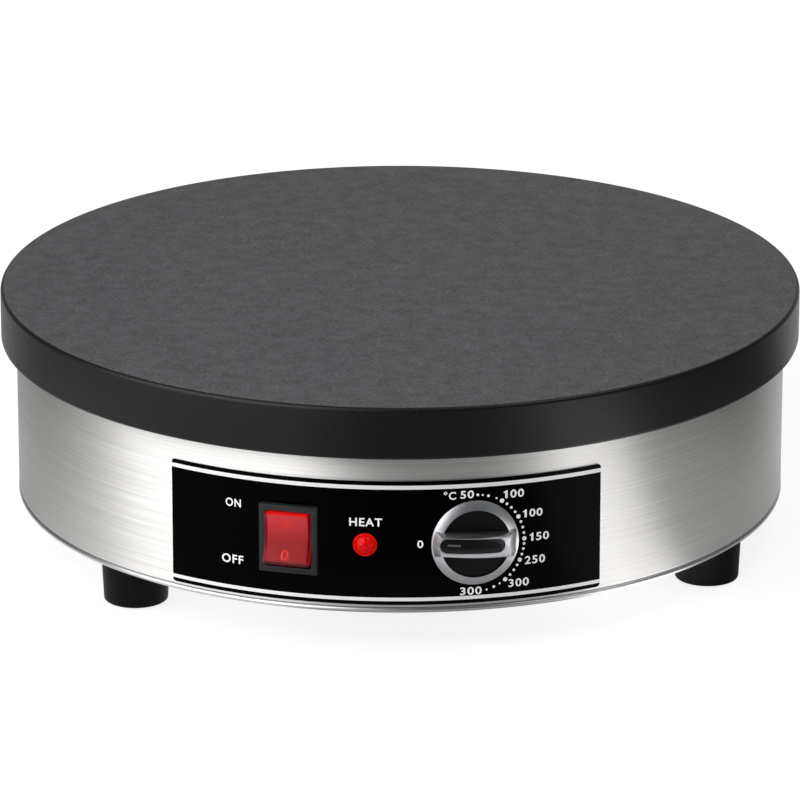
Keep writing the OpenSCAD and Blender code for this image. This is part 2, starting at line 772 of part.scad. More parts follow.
module switch_housing() {
    color("#2c2d2e") on_wall(switch_angle, switch_z) difference() {
        union() {
            difference() {
                intersection() {
                    translate([0, 0, -bezel_h / 2]) linear_extrude(bezel_h)
                        chamfered_2d(bezel_w, bezel_face, bezel_back, bezel_chamfer);
                    rotate([0, 90, 0]) translate([0, 0, -bezel_w / 2]) linear_extrude(bezel_w)
                        chamfered_2d(bezel_h, bezel_face, bezel_back, bezel_chamfer);
                }
                translate([0, drum_r, -bezel_h]) cylinder(r = panel_r + running_gap, h = 2 * bezel_h, $fn = 180);
            }
            translate([-housing_w / 2, panel_face - eps, -housing_half_h])
                cube([housing_w, housing_back - panel_face + eps, 2 * housing_half_h]);
        }
        translate([-cavity_w / 2, pivot_y, 0]) rotate([0, 90, 0]) cylinder(r = cavity_r, h = cavity_w);
        translate([-cavity_w / 2, pivot_y, -cavity_r])
            cube([cavity_w, housing_back - back_wall - pivot_y, 2 * cavity_r]);
        translate([-housing_w / 2 - eps, pivot_y, 0]) rotate([0, 90, 0])
            cylinder(d = pivot_d + 2 * running_gap, h = housing_w + 2 * eps);
    }
}

module switch_terminals() {
    color("#c0b48a") on_wall(switch_angle, switch_z)
        for (x = [-tab_x, tab_x], z = [-tab_dz, tab_dz])
            translate([x - tab_t / 2, housing_back, z - tab_w / 2]) cube([tab_t, tab_len, tab_w]);
}

switch_bulb_d = 4.4;

module switch_bulb() {
    color("#e8a08c") on_wall(switch_angle, switch_z)
        translate([-6, housing_back - back_wall - switch_bulb_d / 2 - fit_gap, 0])
            rotate([0, 90, 0]) cylinder(d = switch_bulb_d, h = 12);
}

hollow_r = (rocker_half_h * rocker_half_h + rocker_hollow * rocker_hollow) / (2 * rocker_hollow);
hollow_centre = tip_out - rocker_hollow + hollow_r;

module at_rocker() {
    on_wall(switch_angle, switch_z) translate([0, pivot_y, 0]) rotate([-rocker_tilt_angle, 0, 0]) children();
}

// Side view of the rocker's head, "inset" inside the clear cap, as [depth, height]
module rocker_side(inset, back) {
    half_back = rocker_half_h + (tip_out - back) * end_slope - inset;
    half_front = rocker_half_h - eps * end_slope - inset;
    front = tip_out + eps;
    polygon([[-back, half_back], [-front, half_front], [-front, -half_front], [-back, -half_back]]);
}

// The hollow in the rocker's face, "deeper" behind the cap
module face_hollow(deeper) {
    translate([-rocker_w, -hollow_centre, 0]) rotate([0, 90, 0])
        cylinder(r = hollow_r + deeper, h = 2 * rocker_w);
    tip_depth = tip_out - deeper;
    translate([-rocker_w, -tip_out - 2 * rocker_w, -rocker_w])
        cube([2 * rocker_w, 2 * rocker_w + tip_out - tip_depth, 2 * rocker_w]);
}

cap_gap = 0.05;

module rocker_cap() {
    color("#f2d6d2", 0.5) at_rocker() difference() {
        across(rocker_w) rocker_side(0, skirt_out);
        face_hollow(0);
        difference() {
            across(rocker_w - 2 * cap_t) rocker_side(cap_t, skirt_out - eps);
            face_hollow(cap_t);
        }
    }
}

module rocker_core() {
    core_w = rocker_w - 2 * (cap_t + cap_gap);
    root_half_h = skirt_half_h - cap_t - cap_gap;
    color("#c8191c") at_rocker() {
        difference() {
            across(core_w) rocker_side(cap_t + cap_gap, skirt_out - cap_gap);
            face_hollow(cap_t + cap_gap);
        }
        across(core_w) polygon([
            [-skirt_out + cap_gap, root_half_h], [-skirt_out + cap_gap, -root_half_h],
            [core_in, -core_half_h], [core_in, core_half_h]
        ]);
        for (side = [0, 180]) rotate([0, 0, side]) translate([core_w / 2 - eps, 0, 0]) rotate([0, 90, 0])
            cylinder(d = pivot_d, h = (housing_w - core_w) / 2 + eps - slide_gap);
    }
}

// ---------------------------------------------------------------- heat lamp

lens_rim_t = 1.2;
lens_dome_h = 2.6;
lens_dome_d = lens_d - 2.4;
panel_face = drum_r - panel_r;

module lamp_lens() {
    dome_r = (lens_dome_d * lens_dome_d / 4 + lens_dome_h * lens_dome_h) / (2 * lens_dome_h);
    color("#d8161a") on_wall(lamp_angle, lamp_z) translate([0, panel_face, 0]) rotate([90, 0, 0]) {
        cylinder(d = lens_d, h = lens_rim_t);
        intersection() {
            translate([0, 0, lens_rim_t + lens_dome_h - dome_r]) sphere(dome_r);
            translate([0, 0, lens_rim_t / 2]) cylinder(d = lens_dome_d, h = lens_rim_t + lens_dome_h);
        }
    }
}

lamp_pin_d = 1.6;
lamp_pin_x = 2.5;
lamp_pin_len = 5;

module lamp_barrel() {
    color("#202022") on_wall(lamp_angle, lamp_z) {
        deep_cylinder(barrel_d, panel_face, barrel_len);
        for (side = [-1, 1]) translate([side * lamp_pin_x, 0, 0])
            deep_cylinder(lamp_pin_d, barrel_len - 1, barrel_len + lamp_pin_len);
    }
}

lamp_nut_af = barrel_d + 4;
lamp_nut_h = 3;

module lamp_nut() {
    nut_front = drum_t + sag(drum_r - drum_t, lamp_nut_af / 2 / cos(30)) + fit_gap;
    color("#2a2a2c") on_wall(lamp_angle, lamp_z) translate([0, nut_front, 0]) rotate([-90, 0, 0])
        hex_nut(lamp_nut_af, lamp_nut_h, barrel_d + 2 * fit_gap);
}

// ---------------------------------------------------------------- thermostat

bracket_t = 1.2;
bracket_w = 62;
bracket_h = 34;
tab_gap = 3.4;
bracket_tab = drum_r * sin(knob_angle - lamp_angle) - lamp_nut_af / 2 / cos(30) - bracket_w / 2 - tab_gap;
bushing_d = 9;
bushing_len = 2.4;
thermostat_screw_x = 14;
thermostat_screw_d = 4;
thermostat_head_d = 7;
thermostat_head_h = 2.6;
thermostat_screw_len = 6;
shaft_in = 5;

module thermostat_bracket() {
    leg_x = bracket_w / 2 - bracket_t;
    leg_front = drum_t + sag(drum_r - drum_t, bracket_w / 2) + fit_gap;
    tab_x_out = bracket_w / 2 + bracket_tab;
    color("#a4a7aa") on_wall(knob_angle, knob_z) difference() {
        union() {
            translate([-bracket_w / 2, thermostat_depth - bracket_t, -bracket_h / 2])
                cube([bracket_w, bracket_t, bracket_h]);
            for (x = [-bracket_w / 2, leg_x]) translate([x, leg_front, -bracket_h / 2])
                cube([bracket_t, thermostat_depth - leg_front, bracket_h]);
            for (side = [-1, 1]) rotate([0, 0, 0]) bracket_foot(side, tab_x_out);
        }
        deep_cylinder(bushing_d + 2 * fit_gap, 0, thermostat_depth + eps);
        for (x = [-thermostat_screw_x, thermostat_screw_x]) translate([x, 0, 0])
            deep_cylinder(thermostat_screw_d + 2 * fit_gap, 0, thermostat_depth + eps);
    }
}

// A foot of the bracket, bent out along the drum's inner face
module bracket_foot(side, reach) {
    near = bracket_w / 2 - bracket_t;
    face_near = drum_t + sag(drum_r - drum_t, near) + fit_gap;
    face_far = drum_t + sag(drum_r - drum_t, reach) + fit_gap;
    translate([0, 0, -bracket_h / 2]) linear_extrude(bracket_h) polygon([
        [side * near, face_near], [side * reach, face_far],
        [side * reach, face_far + bracket_t], [side * near, face_near + bracket_t]
    ]);
}

module thermostat_body() {
    color("#d9d2c0") on_wall(knob_angle, knob_z) difference() {
        union() {
            translate([-thermostat_w / 2, thermostat_depth, -thermostat_h / 2])
                cube([thermostat_w, thermostat_l, thermostat_h]);
            deep_cylinder(bushing_d, thermostat_depth - bushing_len, thermostat_depth + eps);
        }
        deep_cylinder(shaft_d + 2 * running_gap, 0, thermostat_depth + shaft_in + fit_gap);
        for (x = [-thermostat_screw_x, thermostat_screw_x]) translate([x, 0, 0])
            deep_cylinder(thermostat_screw_d + 2 * fit_gap, 0, thermostat_depth + thermostat_screw_len);
    }
}

module thermostat_screws() {
    color("#b4b6b8") on_wall(knob_angle, knob_z)
        for (x = [-thermostat_screw_x, thermostat_screw_x]) translate([x, 0, 0]) {
            front = thermostat_depth - bracket_t;
            deep_cylinder(thermostat_head_d, front - thermostat_head_h, front);
            deep_cylinder(thermostat_screw_d, front - eps, thermostat_depth + thermostat_screw_len - eps);
        }
}

thermostat_back = thermostat_depth + thermostat_l;
// Tabs behind the thermostat, as [x, z] from its axis: switched live in, element, lamp
thermostat_tabs = [[-12, -8], [-12, 8], [0, 8]];

module thermostat_terminals() {
    color("#c0b48a") on_wall(knob_angle, knob_z) for (p = thermostat_tabs)
        translate([p[0] - tab_t / 2, thermostat_back, p[1] - tab_w / 2]) cube([tab_t, tab_len, tab_w]);
}

module d_shaft_2d(d, flat) {
    difference() {
        circle(d = d);
        translate([-d, d / 2 - flat]) square([2 * d, d]);
    }
}

// Outwards from the panel's face, in the knob's own frame: x right, y up
module at_knob() {
    on_wall(knob_angle, knob_z) translate([0, panel_face, 0]) rotate([90, 0, 0])
        rotate([0, 0, -knob_rest_turn]) children();
}

hub_gap = 1.2;
shaft_top = knob_gap;
shaft_low = -(thermostat_depth + shaft_in - panel_face);

module thermostat_shaft() {
    color("#b9bbbd") at_knob() {
        translate([0, 0, shaft_low]) cylinder(d = shaft_d, h = -hub_len - 1 - shaft_low);
        translate([0, 0, -hub_len - 1]) linear_extrude(shaft_top + hub_len + 1) d_shaft_2d(shaft_d, shaft_flat);
    }
}

module thermostat_bulb() {
    color("#b87a55") in_element_frame() translate([-bulb_len / 2 + bulb_shift, pocket_y, bulb_z])
        rotate([0, 90, 0]) cylinder(d = bulb_d, h = bulb_len);
}

// ---------------------------------------------------------------- knob

knob_r = knob_d / 2;
ring_in_r = knob_r - ring_w;
base_top = knob_gap + knob_base_t;
ring_edge = base_top + ring_edge_t;
ring_top = ring_edge + ring_rise;
knob_floor = ring_top - knob_hollow;
wing_top = ring_edge + wing_h;
trim_step = 0.4;

module knob_body() {
    color("#141415") at_knob() difference() {
        union() {
            translate([0, 0, knob_gap]) cylinder(r = knob_r - trim_step, h = knob_base_t);
            translate([0, 0, knob_gap]) cylinder(r = ring_in_r - running_gap, h = knob_floor - knob_gap);
            translate([0, 0, -hub_len]) cylinder(d = hub_d, h = hub_len + knob_gap + knob_base_t / 2);
        }
        translate([0, 0, -hub_len - eps]) linear_extrude(hub_len + eps + shaft_top + fit_gap)
            d_shaft_2d(shaft_d + 2 * running_gap, shaft_flat);
    }
}

// The arch of the wing's top: a wide arc over the middle of the wing, through both of its ends
wing_end = wing_top - wing_arch;
wing_middle = (wing_tail - wing_reach) / 2;
wing_half_len = (wing_tail + wing_reach) / 2;
arch_r = (wing_half_len * wing_half_len + wing_arch * wing_arch) / (2 * wing_arch);

// Everything under the arch, "lower" below the wing's top
module under_arch(lower) {
    translate([wing_middle, knob_r, wing_top - arch_r]) rotate([90, 0, 0])
        cylinder(r = arch_r - lower, h = 2 * knob_r, $fn = 360);
}

// The wing's section across its length, its flank towards "side" splayed and the other one left wide
module wing_flank(side) {
    rotate([0, 0, side * wing_splay_angle]) rotate([90, 0, 90]) translate([0, 0, -2 * knob_r])
        linear_extrude(4 * knob_r) polygon([
            [side * wing_foot_w / 2, base_top], [side * wing_top_w / 2, wing_end],
            [side * wing_top_w / 2, wing_top + eps], [-side * wing_foot_w, wing_top + eps],
            [-side * wing_foot_w, base_top]
        ]);
}

wing_foot_in = 0.2;

module wing() {
    foot_r = knob_r - wing_foot_in;
    end_slope_in = (foot_r - wing_reach) / (wing_end - base_top);
    tail_slope_in = (foot_r - wing_tail) / (wing_end - base_top);
    wing_full_h = wing_top + eps - base_top;
    intersection() {
        translate([0, 0, base_top]) cylinder(r1 = foot_r, r2 = foot_r - end_slope_in * wing_full_h, h = wing_full_h);
        rotate([90, 0, 0]) translate([0, 0, -knob_r]) linear_extrude(2 * knob_r) polygon([
            [-2 * knob_r, base_top], [-2 * knob_r, wing_top + eps],
            [foot_r - tail_slope_in * wing_full_h, wing_top + eps], [foot_r, base_top]
        ]);
        wing_flank(1);
        wing_flank(-1);
        under_arch(0);
    }
}

wing_side_sag = 0.4;

// The two hollows of the knob's face, one on each side of the wing
module face_hollows() {
    flank_r = (ring_in_r * ring_in_r + wing_side_sag * wing_side_sag) / (2 * wing_side_sag);
    translate([0, 0, knob_floor]) linear_extrude(wing_top) intersection() {
        circle(ring_in_r);
        for (side = [-1, 1]) intersection() {
            translate([-knob_r, side > 0 ? 0 : -knob_r]) square([2 * knob_r, knob_r]);
            translate([0, side * (wing_waist_w / 2 + flank_r)]) circle(flank_r, $fn = 360);
        }
    }
}

inlay_margin = 0.35;
inlay_x = -wing_reach + inlay_len / 2 + inlay_margin;

// The inlay's space, "wider" all round, from its seat up to "below" the wing's top
module inlay_space(wider, below) {
    difference() {
        intersection() {
            translate([inlay_x, 0, wing_end - inlay_sink - 2 * inlay_t])
                linear_extrude(wing_arch + inlay_sink + 2 * inlay_t + eps)
                    slot_2d(inlay_len + 2 * wider, inlay_w + 2 * wider);
            under_arch(below);
        }
        under_arch(inlay_sink + inlay_t);
    }
}

module knob_trim() {
    color("#b5b7ba") at_knob() difference() {
        union() {
            rotate_extrude() polygon([
                [ring_in_r, base_top], [ring_in_r, ring_top], [knob_r, ring_edge], [knob_r, base_top]
            ]);
            wing();
        }
        translate([0, 0, base_top - eps]) cylinder(r = ring_in_r, h = knob_floor - base_top + eps);
        face_hollows();
        inlay_space(running_gap, -eps);
    }
}

module knob_inlay() {
    color("#101011") at_knob() inlay_space(0, inlay_sink);
}

// ---------------------------------------------------------------- gland

gland_depth = 16;
gland_lip = 3;
gland_mouth_d = cord_d + 0.8;
seal_d = 13.6;
locknut_af = gland_barrel_d + 6;
locknut_h = 4;
cap_af = gland_barrel_d + 5;
cap_from = gland_depth - 6;
cap_to = gland_depth + 4;
collar_round = 2;

module gland_body() {
    color("#1d1d1f") on_wall(180, gland_z) difference() {
        union() {
            translate([0, gland_depth, 0]) rotate([90, 0, 0]) rotate_extrude() {
                square([gland_barrel_d / 2, gland_depth + gland_collar_h - collar_round]);
                translate([0, gland_depth]) square([gland_collar_d / 2, gland_collar_h - collar_round]);
                translate([0, gland_depth + gland_collar_h - collar_round]) polygon([
                    [0, 0], [gland_collar_d / 2, 0], [gland_collar_d / 2 - collar_round, collar_round],
                    [0, collar_round]
                ]);
            }
        }
        deep_cylinder(gland_mouth_d, -gland_collar_h - eps, gland_depth + eps);
        deep_cylinder(seal_d + 2 * fit_gap, gland_lip, gland_depth + eps);
    }
}

module gland_locknut() {
    nut_front = drum_t + sag(drum_r - drum_t, locknut_af / 2 / cos(30)) + fit_gap;
    color("#242426") on_wall(180, gland_z) translate([0, nut_front, 0]) rotate([-90, 0, 0])
        hex_nut(locknut_af, locknut_h, gland_barrel_d + 2 * fit_gap);
}

module gland_seal() {
    color("#2f2f30") on_wall(180, gland_z) difference() {
        deep_cylinder(seal_d, gland_lip, gland_lip + seal_len);
        deep_cylinder(cord_d, gland_lip - eps, gland_lip + seal_len + eps);
    }
}

module gland_cap() {
    color("#1d1d1f") on_wall(180, gland_z) difference() {
        translate([0, cap_from, 0]) rotate([-90, 0, 0])
            cylinder(d = cap_af / cos(30), h = cap_to - cap_from, $fn = 6);
        deep_cylinder(gland_barrel_d + 2 * fit_gap, cap_from - eps, gland_depth);
        deep_cylinder(gland_mouth_d, cap_from, cap_to + eps);
    }
}

// ---------------------------------------------------------------- terminal block and earth

block_inset = 62.4;
block_x = 27;
block_y = drum_r - block_inset;
block_w = block_ways * way_pitch + 8;
block_l = 22;
block_h = 18;
block_screw_d = 3;
block_screw_x = [block_x - block_w / 2 + 3, block_x + block_w / 2 - 3];
way_screw_d = 4;
way_z = pan_z + pan_t + 9;
way_screw_y = 6;
earth_step = [39, -32];
earth_x = block_x + earth_step[0];
earth_y = block_y + earth_step[1];
earth_d = 5;
earth_nut_h = 4;
function way_x(k) = block_x + (k - (block_ways - 1) / 2) * way_pitch;
function way_port(k) = [way_x(k), block_y - block_l / 2, way_z];

module terminal_block() {
    color("#e3ddcf") difference() {
        translate([block_x - block_w / 2, block_y - block_l / 2, pan_z + pan_t])
            cube([block_w, block_l, block_h]);
        for (k = [0 : block_ways - 1]) for (side = [-1, 1])
            translate([way_x(k), block_y + side * way_screw_y, way_z])
                cylinder(d = way_screw_d + 2 * fit_gap, h = block_h);
        for (x = block_screw_x) translate([x, block_y, pan_z])
            cylinder(d = block_screw_d + 2 * fit_gap, h = block_h + 2 * pan_t + eps);
    }
}

module block_screws() {
    color("#c8c2b0") {
        for (k = [0 : block_ways - 1]) for (side = [-1, 1])
            translate([way_x(k), block_y + side * way_screw_y, way_z])
                cylinder(d = way_screw_d, h = pan_z + pan_t + block_h - way_z - 2);
        for (x = block_screw_x) translate([x, block_y, pan_z - pan_t]) {
            cylinder(d = block_screw_d, h = block_h + 2 * pan_t);
            translate([0, 0, block_h + 2 * pan_t]) cylinder(d = block_screw_d * 1.8, h = 2);
        }
    }
}

module earth_stud() {
    color("#b9a86a") translate([earth_x, earth_y, pan_z]) {
        translate([0, 0, -2]) cylinder(d = earth_d, h = 18);
        translate([0, 0, -2]) cylinder(d = earth_d * 1.7, h = 2);
        translate([0, 0, pan_t]) hex_nut(earth_d + 3, earth_nut_h, earth_d - eps);
        translate([0, 0, pan_t + earth_nut_h]) cylinder(d = earth_d * 2, h = 1);
        translate([0, 0, pan_t + earth_nut_h + 1]) hex_nut(earth_d + 3, earth_nut_h, earth_d - eps);
    }
}

// ---------------------------------------------------------------- leads

// A smooth path through points, straight at both ends, with "steps" stretches between two of them
function on_curve(a, b, c, d, t) =
    0.5 * (2 * b + (c - a) * t + (2 * a - 5 * b + 4 * c - d) * t * t + (3 * b - a - 3 * c + d) * t * t * t);
function smooth(p, steps) = concat(
    [p[0]],
    [for (i = [1 : len(p) - 3]) for (s = [0 : steps - 1])
        on_curve(p[i - 1], p[i], p[i + 1], p[i + 2], s / steps)],
    [p[len(p) - 2], p[len(p) - 1]]
);
function unit(v) = v / norm(v);
function tangents(p) = [for (i = [0 : len(p) - 1]) unit(p[min(i + 1, len(p) - 1)] - p[max(i - 1, 0)])];
function squared_to(n, t) = unit(n - (n * t) * t);
function first_normal(t) = squared_to(abs(t[2]) < 0.9 ? [0, 0, 1] : [1, 0, 0], t);
function normals(t) = [
    for (i = 0, n = first_normal(t[0]); i < len(t); i = i + 1, n = i < len(t) ? squared_to(n, t[i]) : n) n
];

// A round tube along a path
module tube(path, d, sides = 8) {
    t = tangents(path);
    n = normals(t);
    last = len(path) - 1;
    polyhedron(
        points = [for (i = [0 : last]) for (k = [0 : sides - 1])
            path[i] + d / 2 * (cos(k * 360 / sides) * n[i] + sin(k * 360 / sides) * cross(t[i], n[i]))],
        faces = concat(
            [[for (k = [sides - 1 : -1 : 0]) k]],
            [for (i = [0 : last - 1]) for (k = [0 : sides - 1])
                [i * sides + k, i * sides + (k + 1) % sides, (i + 1) * sides + (k + 1) % sides,
                    (i + 1) * sides + k]],
            [[for (k = [0 : sides - 1]) last * sides + k]]
        )
    );
}

lead_gap = 0.1;    // between a lead and its tab
lead_start = 12;   // straight stretch out of a tab or a way
// The end of a tab and a point straight behind it
function switch_end(x, z) = [
    wall_point(switch_angle, x, housing_back + tab_len + lead_gap, switch_z + z),
    wall_point(switch_angle, x, housing_back + tab_len + lead_start, switch_z + z)
];
function thermostat_end(k) = [
    wall_point(knob_angle, thermostat_tabs[k][0], thermostat_back + tab_len + lead_gap, knob_z + thermostat_tabs[k][1]),
    wall_point(knob_angle, thermostat_tabs[k][0], thermostat_back + tab_len + lead_start, knob_z + thermostat_tabs[k][1])
];
function lamp_end(x) = [
    wall_point(lamp_angle, x, barrel_len + lamp_pin_len + lead_gap, lamp_z),
    wall_point(lamp_angle, x, barrel_len + lamp_pin_len + lead_start, lamp_z)
];
function block_end(k) = [way_port(k) - [0, lead_gap, 0], way_port(k) - [0, lead_start, 0]];
function turned(p, a) = [p[0] * cos(a) - p[1] * sin(a), p[0] * sin(a) + p[1] * cos(a)];
function pin_end(k) =
    let (q = turned([stem_ends[k][0], stem_ends[k][1] * stem_bend_r], element_turn), z = stem_end - pin_len)
    [[q[0], q[1], z - lead_gap], [q[0], q[1], z - lead_start * 0.6]];
function between(from, middle, to) = concat(from, middle, [to[1], to[0]]);

// A place inside the drum: x and y in hundredths of its radius, z in hundredths of its height
function inside(x, y, z) = [x * drum_r / 100, y * drum_r / 100, pan_z + z * drum_h / 100];
// Places behind the switch, the thermostat and the lamp: along, inwards and up, in straight starts
function behind_switch(x, depth, z) =
    wall_point(switch_angle, x * lead_start, housing_back + depth * lead_start, switch_z + z * lead_start);
function behind_thermostat(x, depth, z) =
    wall_point(knob_angle, x * lead_start, thermostat_back + depth * lead_start, knob_z + z * lead_start);
function behind_lamp(x, depth, z) =
    wall_point(lamp_angle, x * lead_start, barrel_len + depth * lead_start, lamp_z + z * lead_start);

live_in = between(block_end(0),
    [inside(-2, 48, 9), inside(-15, 29, 8), inside(-21, 0, 8), inside(-23, -31, 9),
     behind_switch(-1.65, 4.38, -1.58), behind_switch(-0.89, 2.33, 0.08)],
    switch_end(-tab_x, tab_dz));
live_switched = between(switch_end(-tab_x, -tab_dz),
    [behind_switch(-0.62, 3.00, -1.75), behind_lamp(-1.57, 4.29, -2.34),
     behind_lamp(0.41, 4.88, -2.34), behind_thermostat(-1.07, 2.93, -1.70)],
    thermostat_end(0));
live_to_element = between(thermostat_end(1),
    [behind_thermostat(-1.06, 2.59, 0.97), behind_lamp(-0.63, 5.66, 1.24), inside(-31, -36, 57),
     inside(-58, -21, 50), inside(-76, -11, 34), inside(-84, -7, 26)],
    pin_end(1));
neutral_in = between(block_end(1),
    [inside(9, 48, 8), inside(2, 30, 7), inside(-7, 10, 7), inside(-8, -21, 7), inside(-6, -45, 15),
     behind_lamp(-0.82, 4.32, -0.09), behind_switch(0.77, 2.91, 0.58)],
    switch_end(tab_x, tab_dz));
neutral_to_element = between(switch_end(tab_x, -tab_dz),
    [behind_switch(0.01, 3.24, -0.25), behind_switch(-0.72, 5.46, 0.08), inside(-19, -26, 37),
     inside(-22, -3, 25)],
    pin_end(0));
lamp_live = between(lamp_end(lamp_pin_x),
    [behind_lamp(0.34, 2.54, 0.57), behind_lamp(1.12, 3.91, 1.49), behind_thermostat(-0.38, 2.95, 1.55)],
    thermostat_end(2));
lamp_neutral = between(lamp_end(-lamp_pin_x),
    [behind_lamp(0.09, 2.53, -0.43), behind_lamp(0.80, 3.56, -0.68), behind_lamp(2.37, 5.63, -0.93),
     inside(21, -31, 18), inside(20, 0, 8), inside(18, 34, 8)],
    block_end(2));
earth_run = concat(block_end(3),
    [way_port(3) + lead_start * [0.15, -1.6, 0], way_port(3) + lead_start * [0.6, -1.75, 0]],
    [[earth_x - earth_d - lead_d / 2 - lead_gap, earth_y, way_z]]);

module live_leads() {
    color("#6b4326") for (p = [live_in, live_switched, live_to_element]) tube(smooth(p, 3), lead_d);
}

module neutral_leads() {
    color("#2f5f9e") for (p = [neutral_in, neutral_to_element]) tube(smooth(p, 3), lead_d);
}

module lamp_leads() {
    color("#8c8c8e") for (p = [lamp_live, lamp_neutral]) tube(smooth(p, 3), lead_d * 0.7);
}

module earth_lead() {
    color("#5f9c3a") tube(smooth(earth_run, 3), lead_d);
}

capillary_x = 8;
capillary_rise = 10;

module capillary() {
    start = wall_point(knob_angle, capillary_x, thermostat_back + lead_gap, knob_z + capillary_rise);
    clear = wall_point(knob_angle, capillary_x, thermostat_back + lead_start, knob_z + capillary_rise);
    drop_x = capillary_drop[0];
    drop_y = capillary_drop[1];
    color("#b87a55") tube(smooth([
        start, clear, behind_thermostat(1.00, 2.63, 0.88), [drop_x, drop_y - lead_start * 0.8, shield_z - lead_start * 0.9],
        [drop_x, drop_y, shield_z - lead_start * 0.25], [drop_x, drop_y, shield_z + lead_start * 0.9],
        [drop_x, drop_y, bulb_z - lead_start * 0.67],
        [drop_x - drop_step[0] * 0.19, drop_y - drop_step[1] * 0.46, bulb_z - lead_start * 0.17],
        [bulb_end[0] + drop_step[0] / 2, bulb_end[1], bulb_z], [bulb_end[0] + lead_gap, bulb_end[1], bulb_z]
    ], 3), capillary_d);
}

// ---------------------------------------------------------------- everything

cooking_plate();
rim_gasket();
heating_element();
element_bushes();
element_pins();
clamp_bars();
clamp_studs();
clamp_nuts();
insulation_blanket();
heat_shield();
tie_rod();
tie_rod_nut();
tie_rod_washer();
drum_shell();
base_pan();
base_screws();
foot_front_left();
foot_front_right();
foot_rear_left();
foot_rear_right();
foot_bolts();
foot_washers();
foot_nuts();
control_panel();
switch_housing();
switch_terminals();
switch_bulb();
rocker_core();
rocker_cap();
lamp_lens();
lamp_barrel();
lamp_nut();
thermostat_bracket();
thermostat_body();
thermostat_screws();
thermostat_terminals();
thermostat_shaft();
thermostat_bulb();
capillary();
knob_body();
knob_trim();
knob_inlay();
gland_body();
gland_locknut();
gland_seal();
gland_cap();
terminal_block();
block_screws();
earth_stud();
live_leads();
neutral_leads();
lamp_leads();
earth_lead();
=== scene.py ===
"""Dresses the electric crepe maker: plate, drum, control panel, switch, lamp, knob, feet and gland.

Lengths in the classes are in millimetres, as in the part's own drawing, and MM turns them to metres. The
origin is on the counter under the middle of the plate, -Y points to the control panel and +Z up.
"""

from __future__ import annotations

import json
import logging
import math
from dataclasses import dataclass
from enum import Enum

import bpy
from mathutils import Matrix, Vector

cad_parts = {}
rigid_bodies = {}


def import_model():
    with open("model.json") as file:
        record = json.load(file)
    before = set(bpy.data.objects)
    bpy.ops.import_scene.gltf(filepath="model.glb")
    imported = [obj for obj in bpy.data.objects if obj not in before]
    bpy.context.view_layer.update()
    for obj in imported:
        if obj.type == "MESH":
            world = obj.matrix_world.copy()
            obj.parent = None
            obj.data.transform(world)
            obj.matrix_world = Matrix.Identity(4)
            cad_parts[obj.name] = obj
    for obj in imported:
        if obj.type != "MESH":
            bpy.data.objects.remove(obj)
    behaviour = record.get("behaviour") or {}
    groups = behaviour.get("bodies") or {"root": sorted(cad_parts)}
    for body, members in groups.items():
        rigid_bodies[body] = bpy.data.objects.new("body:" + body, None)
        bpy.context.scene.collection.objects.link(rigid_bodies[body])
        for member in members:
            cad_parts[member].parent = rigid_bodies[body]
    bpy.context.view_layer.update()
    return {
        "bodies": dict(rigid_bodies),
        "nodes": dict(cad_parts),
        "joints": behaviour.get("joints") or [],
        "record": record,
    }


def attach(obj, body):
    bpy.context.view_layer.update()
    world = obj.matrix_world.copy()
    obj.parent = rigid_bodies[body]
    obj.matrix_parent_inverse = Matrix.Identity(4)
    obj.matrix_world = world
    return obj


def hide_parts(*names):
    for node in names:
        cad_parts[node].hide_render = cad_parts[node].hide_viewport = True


LOG = logging.getLogger("crepe_maker")
MM = 0.001
Point = tuple[float, float]
Stops = tuple[tuple[float, float], ...]

# Stands an outline of (x, y) up as one of (y, z), so that a prism lies along x.
ALONG_X = Matrix(((0, 0, 1, 0), (1, 0, 0, 0), (0, 1, 0, 0), (0, 0, 0, 1)))


class Cut(Enum):
    """What a second shape does to the piece that it meets."""

    AWAY = "DIFFERENCE"
    KEEP = "INTERSECT"
    ADD = "UNION"


class Body(Enum):
    """The body that a piece moves with."""

    COOKER = "cooker"
    ROCKER = "rocker"
    KNOB = "knob"


# --------------------------------------------------------------------------- small tools


def linear(hex_colour: str) -> tuple[float, float, float, float]:
    """Turns an sRGB hex colour to linear values.

    Args:
        hex_colour: six hex digits.

    Returns:
        Red, green, blue and an alpha of 1.
    """
    channels = [int(hex_colour[i : i + 2], 16) / 255 for i in (0, 2, 4)]
    red, green, blue = [c / 12.92 if c <= 0.04045 else ((c + 0.055) / 1.055) ** 2.4 for c in channels]
    return red, green, blue, 1.0


def turned(degrees: float, axis: str = "Z") -> Matrix:
    """A turn by degrees about an axis through the origin."""
    return Matrix.Rotation(math.radians(degrees), 4, axis)


def moved(x: float = 0.0, y: float = 0.0, z: float = 0.0) -> Matrix:
    """A shift in millimetres."""
    return Matrix.Translation((x * MM, y * MM, z * MM))


def deselect() -> None:
    """Leaves edit mode and deselects every object."""
    if bpy.context.object and bpy.context.object.mode != "OBJECT":
        bpy.ops.object.mode_set(mode="OBJECT")
    bpy.ops.object.select_all(action="DESELECT")


def activate(obj: bpy.types.Object) -> None:
    """Makes a piece the only selected object and the active one.

    Args:
        obj: the piece.
    """
    deselect()
    obj.select_set(True)
    bpy.context.view_layer.objects.active = obj


def name_piece(obj: bpy.types.Object, name: str) -> bpy.types.Object:
    """Names a piece and its mesh.

    Args:
        obj: the piece.
        name: its name.

    Returns:
        The piece.
    """
    obj.name = name
    obj.data.name = name
    return obj


def settle(obj: bpy.types.Object, place: Matrix | None = None) -> bpy.types.Object:
    """Moves a piece by a matrix and bakes its place into its mesh.

    Args:
        obj: the piece.
        place: where it goes, or None where it is already in place.

    Returns:
        The piece, with its object at the origin.
    """
    activate(obj)
    if place is not None:
        obj.matrix_world = place @ obj.matrix_world
    bpy.ops.object.transform_apply(location=True, rotation=True, scale=True)
    return obj


